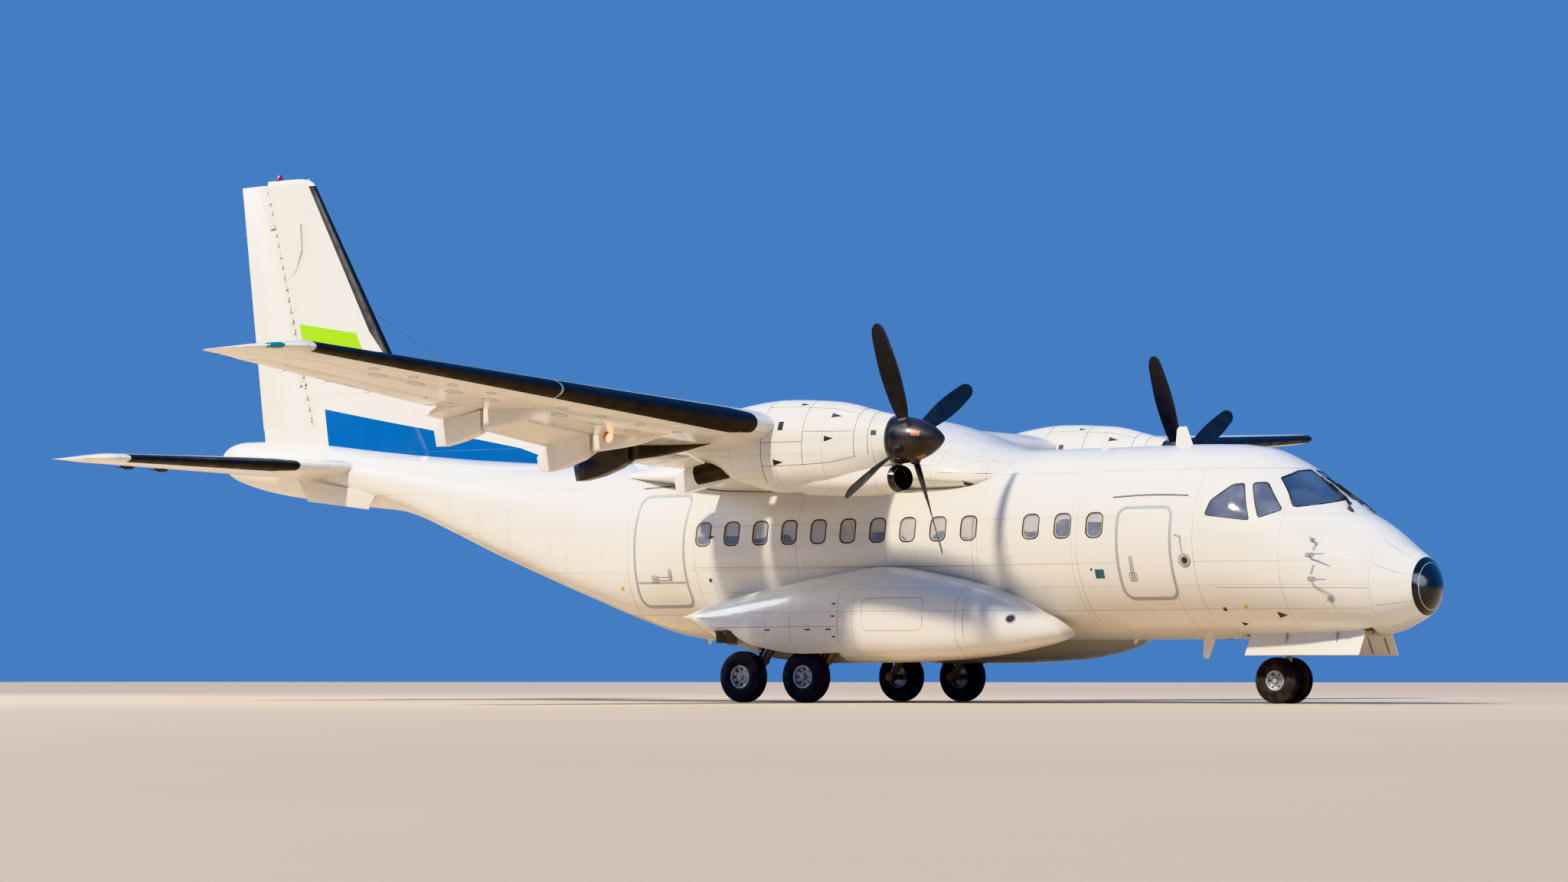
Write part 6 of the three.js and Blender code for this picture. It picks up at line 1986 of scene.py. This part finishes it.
gutters, ports, rings = [], [], []
for side in SIDES.values():
    surface = on_side(side)
    for start, end, z in ((2.98, 4.12, 2.735), (11.1, 12.15, 3.06)):
        path = []
        for s in spread(start, end, 9):
            path.append((s, z + 0.02 * math.sin(math.pi * (s - start) / (end - start))))
        gutters.append(strip("gutter", path, surface, 0.014, 0.012, -0.003))
    # The ports are black discs, not holes: painted shade for their dark insides.
    for station, z, radius in ((2.98, 1.88, 0.042), (10.75, 1.72, 0.022), (4.42, 1.78, 0.016)):
        ports.append(plate("port", disc(station, z, radius), surface, *HOLE, 2))
    rings.append(band("ring", disc(2.98, 1.88, 0.068, 32), surface, 0.045, 0.006, -0.003))
    rings.append(band("ring", disc(10.75, 1.72, 0.027), surface, 0.008, 0.003, -0.003))
    link = [surface(3.0, 1.97, 0.012), surface(3.02, 2.1, 0.02), surface(3.03, 2.2, 0.012)]
    rings.append(tube("link", link, [0.006] * 3, 10))
    rings.append(bar("link", link[-1], surface(3.12, 2.22, 0.012), 0.006, 10))
fit_all("door_gutters", gutters, seam_dark)
fit_all("hull_ports", ports, seal_black)
fit_all("port_rings", rings, wheel_metal)
print(len(gutters), "gutters,", len(ports), "ports")

# %% [markdown]
# The hull shows the edges of its doubler plates round the windows, a few thick seams, and small
# plates in colour where instructions would be: they are left blank here.

# %% Doublers, seams and plates
doublers, seams = [], []
for side in SIDES.values():
    surface = on_side(side)
    for edges in ((4.18, 6.0, 2.1, 2.64), (6.05, 11.02, 2.08, 2.66)):
        doublers.append(band("doubler", rounded(*edges, 0.02, 2), surface, 0.01, 0.0018, -0.002))
    doublers.append(strip("doubler", [(5.6, 1.99), (6.0, 1.99)], surface, 0.03, 0.003, -0.002))
    frames = [(4.62, 1.1, 2.9), (6.28, 1.2, 2.75), (10.98, 1.1, 2.9), (2.85, 1.1, 3.2), (12.2, 1.3, 3.3)]
    paths = [[(s, z) for z in spread(bottom, top, 10)] for s, bottom, top in frames]
    paths.append([(0.64, 1.5), (2.6, 1.52)])
    for station in (13.4, 14.6, 15.8, 16.9, 18.0, 18.9):
        low_z, high_z = smooth(HULL, station, 2) + 0.25, smooth(HULL, station, 3) - 0.2
        paths.append([(station, z) for z in spread(low_z, high_z, 8)])
    paths.append([(6.25, 1.86), (11.05, 1.9)])
    seams += strips(paths, surface, 0.006, *HULL_SEAM)
fit_all("hull_doublers", doublers, panel_paint)
fit_all("hull_seams", seams, seam_soft)
teal_plate = simple("teal_plate", (0.0, 0.09, 0.12), 0.4)
yellow_plate = simple("yellow_plate", (0.6, 0.45, 0.02), 0.45)
plates = {
    "teal": (teal_plate, [(4.3, 1.72, 0.07, 0.06)]),
    "yellow": (yellow_plate, [(2.28, 1.27, 0.022, 0.022), (12.35, 1.62, 0.03, 0.026)]),
    "red": (dark_red, [(2.6, 1.24, 0.024, 0.024)]),
}
for color_name, (plate_material, places) in plates.items():
    made = [plate("plate", rounded(s - a, s + a, z - b, z + b, 0.008, 2), on_side(side), *PAINTED, 2)
            for side in SIDES.values() for s, z, a, b in places]
    fit_all(f"blank_plates_{color_name}", made, plate_material)
white_plates, pod_marks = [], []
for side in SIDES.values():
    surface = pod_side(side)
    sheet = rounded(9.72, 9.86, 1.06, 1.24, 0.01, 2)
    white_plates.append(plate("plate", sheet, surface, *PAINTED, 2))
    for station, z in ((10.72, 1.17), (10.8, 1.18)):
        mark = rounded(station - 0.02, station + 0.02, z - 0.025, z + 0.025, 0.006, 2)
        pod_marks.append(plate("plate", mark, surface, *PAINTED, 2))
fit_all("blank_plates_white", white_plates, panel_paint)
fit_all("blank_marks_pods", pod_marks, yellow_plate)
print(len(doublers), "doublers,", len(seams), "seams")

# %% [markdown]
# Cooling air and cabin air go in and out through flush inlets: a triangle that widens aft, with
# a dark throat, a black plate of painted shade instead of an opening. The wing fairing has a
# louvre and a lower seam with a dark sealant line.

# %% Fairing seam, louvre and hull inlets
def fairing_side(side):
    """The outer face of the wing fairing, as a surface(station, z, lift)."""
    return lambda station, z, lift: oval_face(station, z, side, fairing_section(station), 0, 0.995, lift)


def seam_height(station, side):
    """Where the fairing comes out of the hull, by halving."""
    near, far = 2.4, 3.2
    fairing_reach = fairing_side(side)
    for _ in range(24):
        middle = (near + far) / 2
        inside = middle > fairing_section(station)[1] and (
            abs(fairing_reach(station, middle, 0).y) > abs(hull_side(station, middle, side).y))
        near, far = (near, middle) if inside else (middle, far)
    return far


sealant, louvres, throats = [], [], []
for side in SIDES.values():
    path = [(s, seam_height(s, side) - 0.004) for s in spread(6.6, 11.6, 34)]
    sealant.append(strip("sealant", path, on_side(side), 0.013, *PROUD))
    surface = fairing_side(side)
    slats = [[(7.38, z), (7.54, z)] for z in spread(2.96, 3.16, 6)]
    louvres += strips(slats, surface, 0.02, *PROUD)
    throats.append(plate("throat", [(6.42, 2.98), (6.56, 3.03), (6.56, 2.93)], surface, *HOLE, 2))
    joints = [[(6.9, 3.5), (6.9, 2.95)], [(8.6, 3.4), (8.6, 2.9)], [(10.2, 3.45), (10.2, 2.92)],
              [(6.2, 3.12), (6.9, 3.14), (6.9, 3.24), (7.6, 3.26)]]
    sealant += strips(joints, surface, 0.007, *JOINT)
    hull = on_side(side)
    for station, z, size in ((1.75, 1.16, 0.13), (10.62, 2.33, 0.1), (2.4, 1.05, 0.08)):
        back, half = station + size, size * 0.3
        throat = [(station, z), (back, z + half), (back, z - half)]
        throats.append(plate("throat", throat, hull, *HOLE, 2))
fit_all("fairing_sealant", sealant, seam_dark)
fit_all("fairing_louvres", louvres, grey_line)
fit_all("flush_inlets", throats, seal_black)
print("sealant line and", len(louvres), "slats")

# %% [markdown]
# Under each wing there are oval access covers to the tanks, a landing lamp with a copper rim
# near the flaps, and bright rubbing strips in the flap gap. Lamps at the tips are teal to
# starboard and red to port.

# %% Under the wings
for side_name, side in SIDES.items():
    covers, rubbing = [], []
    for y in (4.9, 5.65, 6.4, 7.15, 8.5, 9.2, 9.9, 10.6):
        leading, chord, _, _ = wing_at(y)
        for share, out, radius, count, width in ((0.36, 0, 0.085, 28, 0.009), (0.2, 0.37, 0.05, 24, 0.007)):
            ring = disc(leading + share * chord, 0, radius, count)
            cover = [(a, side * y + out * side + b * 1.5) for a, b in ring]
            covers.append(band("cover", cover, under_wing, width, *RAISED))
    for start, end in ((5.42, 7.5), (4.5, 5.1), (2.1, 3.0)):
        line = []
        for y in spread(start, end, 8):
            leading, chord, _, _ = wing_at(y)
            line.append((leading + 0.655 * chord, side * y))
        rubbing.append(strip("rubbing", line, under_wing, 0.05, 0.004, -0.003))
    fit_all(f"wing_access_covers_{side_name}", covers, seam_dark)
    fit_all(f"flap_rubbing_strips_{side_name}", rubbing, chrome)
    lamp_at = under_wing(9.28, side * 5.6, 0.06)
    can = [(0.0, -0.07), (0.045, -0.066), (0.072, -0.03), (0.08, 0.0), (0.086, 0.012), (0.08, 0.026),
           (0.07, 0.022), (0.066, 0.01), (0.0, 0.008)]
    fit(turned(f"landing_lamp_rim_{side_name}", can, lamp_at, (1, 0, -0.3), 40), copper)
    lens = [(0.0, 0.006), (0.067, 0.006), (0.067, 0.018), (0.045, 0.03), (0.0, 0.037)]
    glow = turned(f"landing_lamp_{side_name}", lens, lamp_at, (1, 0, -0.3), 32)
    fit(glow, lit_lamp, slot="cockpit_glass")
    stalk = tube("stalk", [lamp_at, lamp_at + Vector((-0.03, 0, 0.09))], [0.03, 0.034], 20)
    fit(stalk, panel_paint).name = f"landing_lamp_stalk_{side_name}"
    light_rows = []
    for y in spread(12.5, 12.62, 7):
        bulge = 0.006 * math.sin(math.pi * (y - 12.48) / 0.16)
        light_rows.append(sheet_row(wing_point, side * y, 0.07, 6, bulge))
    fit(wrap(f"tip_light_{side_name}", capped(light_rows)), red_lens if side > 0 else teal_lens)
print("covers, strips, lamps and tip lights")

# %% [markdown]
# Thin wicks at the trailing edges bleed static charge off. They ride on whatever they are
# screwed to, so they move with the ailerons, elevators and rudder.

# %% Static wicks
def wick(root, direction=Vector((-1, 0, -0.12)), length=0.16):
    run = direction.normalized()
    path = [root + run * ahead for ahead in (-0.02, 0.035, 0.04, length)]
    return tube("wick", path, [0.006, 0.006, 0.0028, 0.002], 8)


for side_name, side in SIDES.items():
    for body, places in (
        (f"aileron_{side_name}", [wing_point(side * y, 1, True) for y in (9.4, 10.3, 11.2, 11.9)]),
        (f"elevator_{side_name}", [tail_point(side * y, 1, True) for y in (3.4, 4.1, 4.8)]),
        ("root", [wing_point(side * y, 1, True) for y in (12.3, 12.6)] + [tail_point(side * 5.2, 1, True)]),
    ):
        fit_all(f"wicks_{side_name}_{body}", [wick(p) for p in places], seal_black, body)
rudder_places = [at(fin_trailing(z), 0, z) for z in (5.0, 6.7, 7.3, 7.9)]
fit_all("wicks_rudder", [wick(p, Vector((-1, 0, 0.05))) for p in rudder_places], seal_black, "rudder")

for side_name, side in SIDES.items():
    humps = []
    for y in (2.9, 3.7):
        place = tail_point(side * y, 0.86, False)
        offsets = ((0.16, 0.0), (0.08, -0.03), (-0.06, -0.034), (-0.16, -0.004))
        hump = [place + Vector((ahead, 0, up)) for ahead, up in offsets]
        humps.append(tube("hump", hump, [0.006, 0.026, 0.026, 0.01], 20))
        ends = (place + Vector((-0.1, 0, -0.03)), place + Vector((-0.28, 0, -0.012)))
        humps.append(bar("rod", *ends, 0.006, 10))
    fit_all(f"tab_levers_{side_name}", humps, soot, f"elevator_{side_name}", slot="gear_grey")
print("wicks and tab levers")

# %% [markdown]
# Near its top the fin has a shallow wedge on each side that houses a rudder hinge. It stands out
# furthest at its upper edge and fades into the skin below. Small tabs and dots run along the
# hinge lines, and the fin's boot ends in a foot that is wrapped further round.

# %% Fin wedges and boot foot
wedges = []
for side in SIDES.values():
    def wedge_skin(station, z, lift, side=side):
        rise = 0.055 * max(0.0, min(1.0, (z - 6.55) / 0.85)) if lift > 0 else 0.0
        return fin_point(station, z, side, lift + rise)
    edge = fin_hinge(7.0)
    outline = [(edge - 0.08, 7.36), (edge - 0.55, 7.46), (edge - 0.58, 7.05), (edge - 0.46, 6.75),
               (edge - 0.26, 6.55), (edge - 0.2, 6.9)]
    wedges.append(plate("wedge", outline, wedge_skin, 0.001, -0.01, 8))
fit_all("fin_hinge_wedges", wedges, panel_paint)
tabs, dots = [], []
for side in SIDES.values():
    for z in spread(4.35, 8.0, 22):
        back = fin_hinge(z) - 0.035
        outline = [(back - 0.05, z), (back, z + 0.005), (back + 0.022, z + 0.085), (back - 0.028, z + 0.08)]
        tabs.append(plate("tab", outline, on_fin(side), *PROUD, 2))
    for y in spread(1.35, 5.0, 23):
        back = tail_hinge(y) - 0.085
        dot = rounded(back - 0.035, back, side * y - 0.02, side * y + 0.02, 0.008, 2)
        dots.append(plate("dot", dot, under_tail, *JOINT, 2))
fit_all("fin_seal_tabs", tabs, panel_paint)
fit_all("tail_vent_dots", dots, seam_dark)
fit(boot("fin_boot_foot", fin_boot_point, 5.29, 5.37, 0.105, 0), boot_rubber)
print("fin wedges")
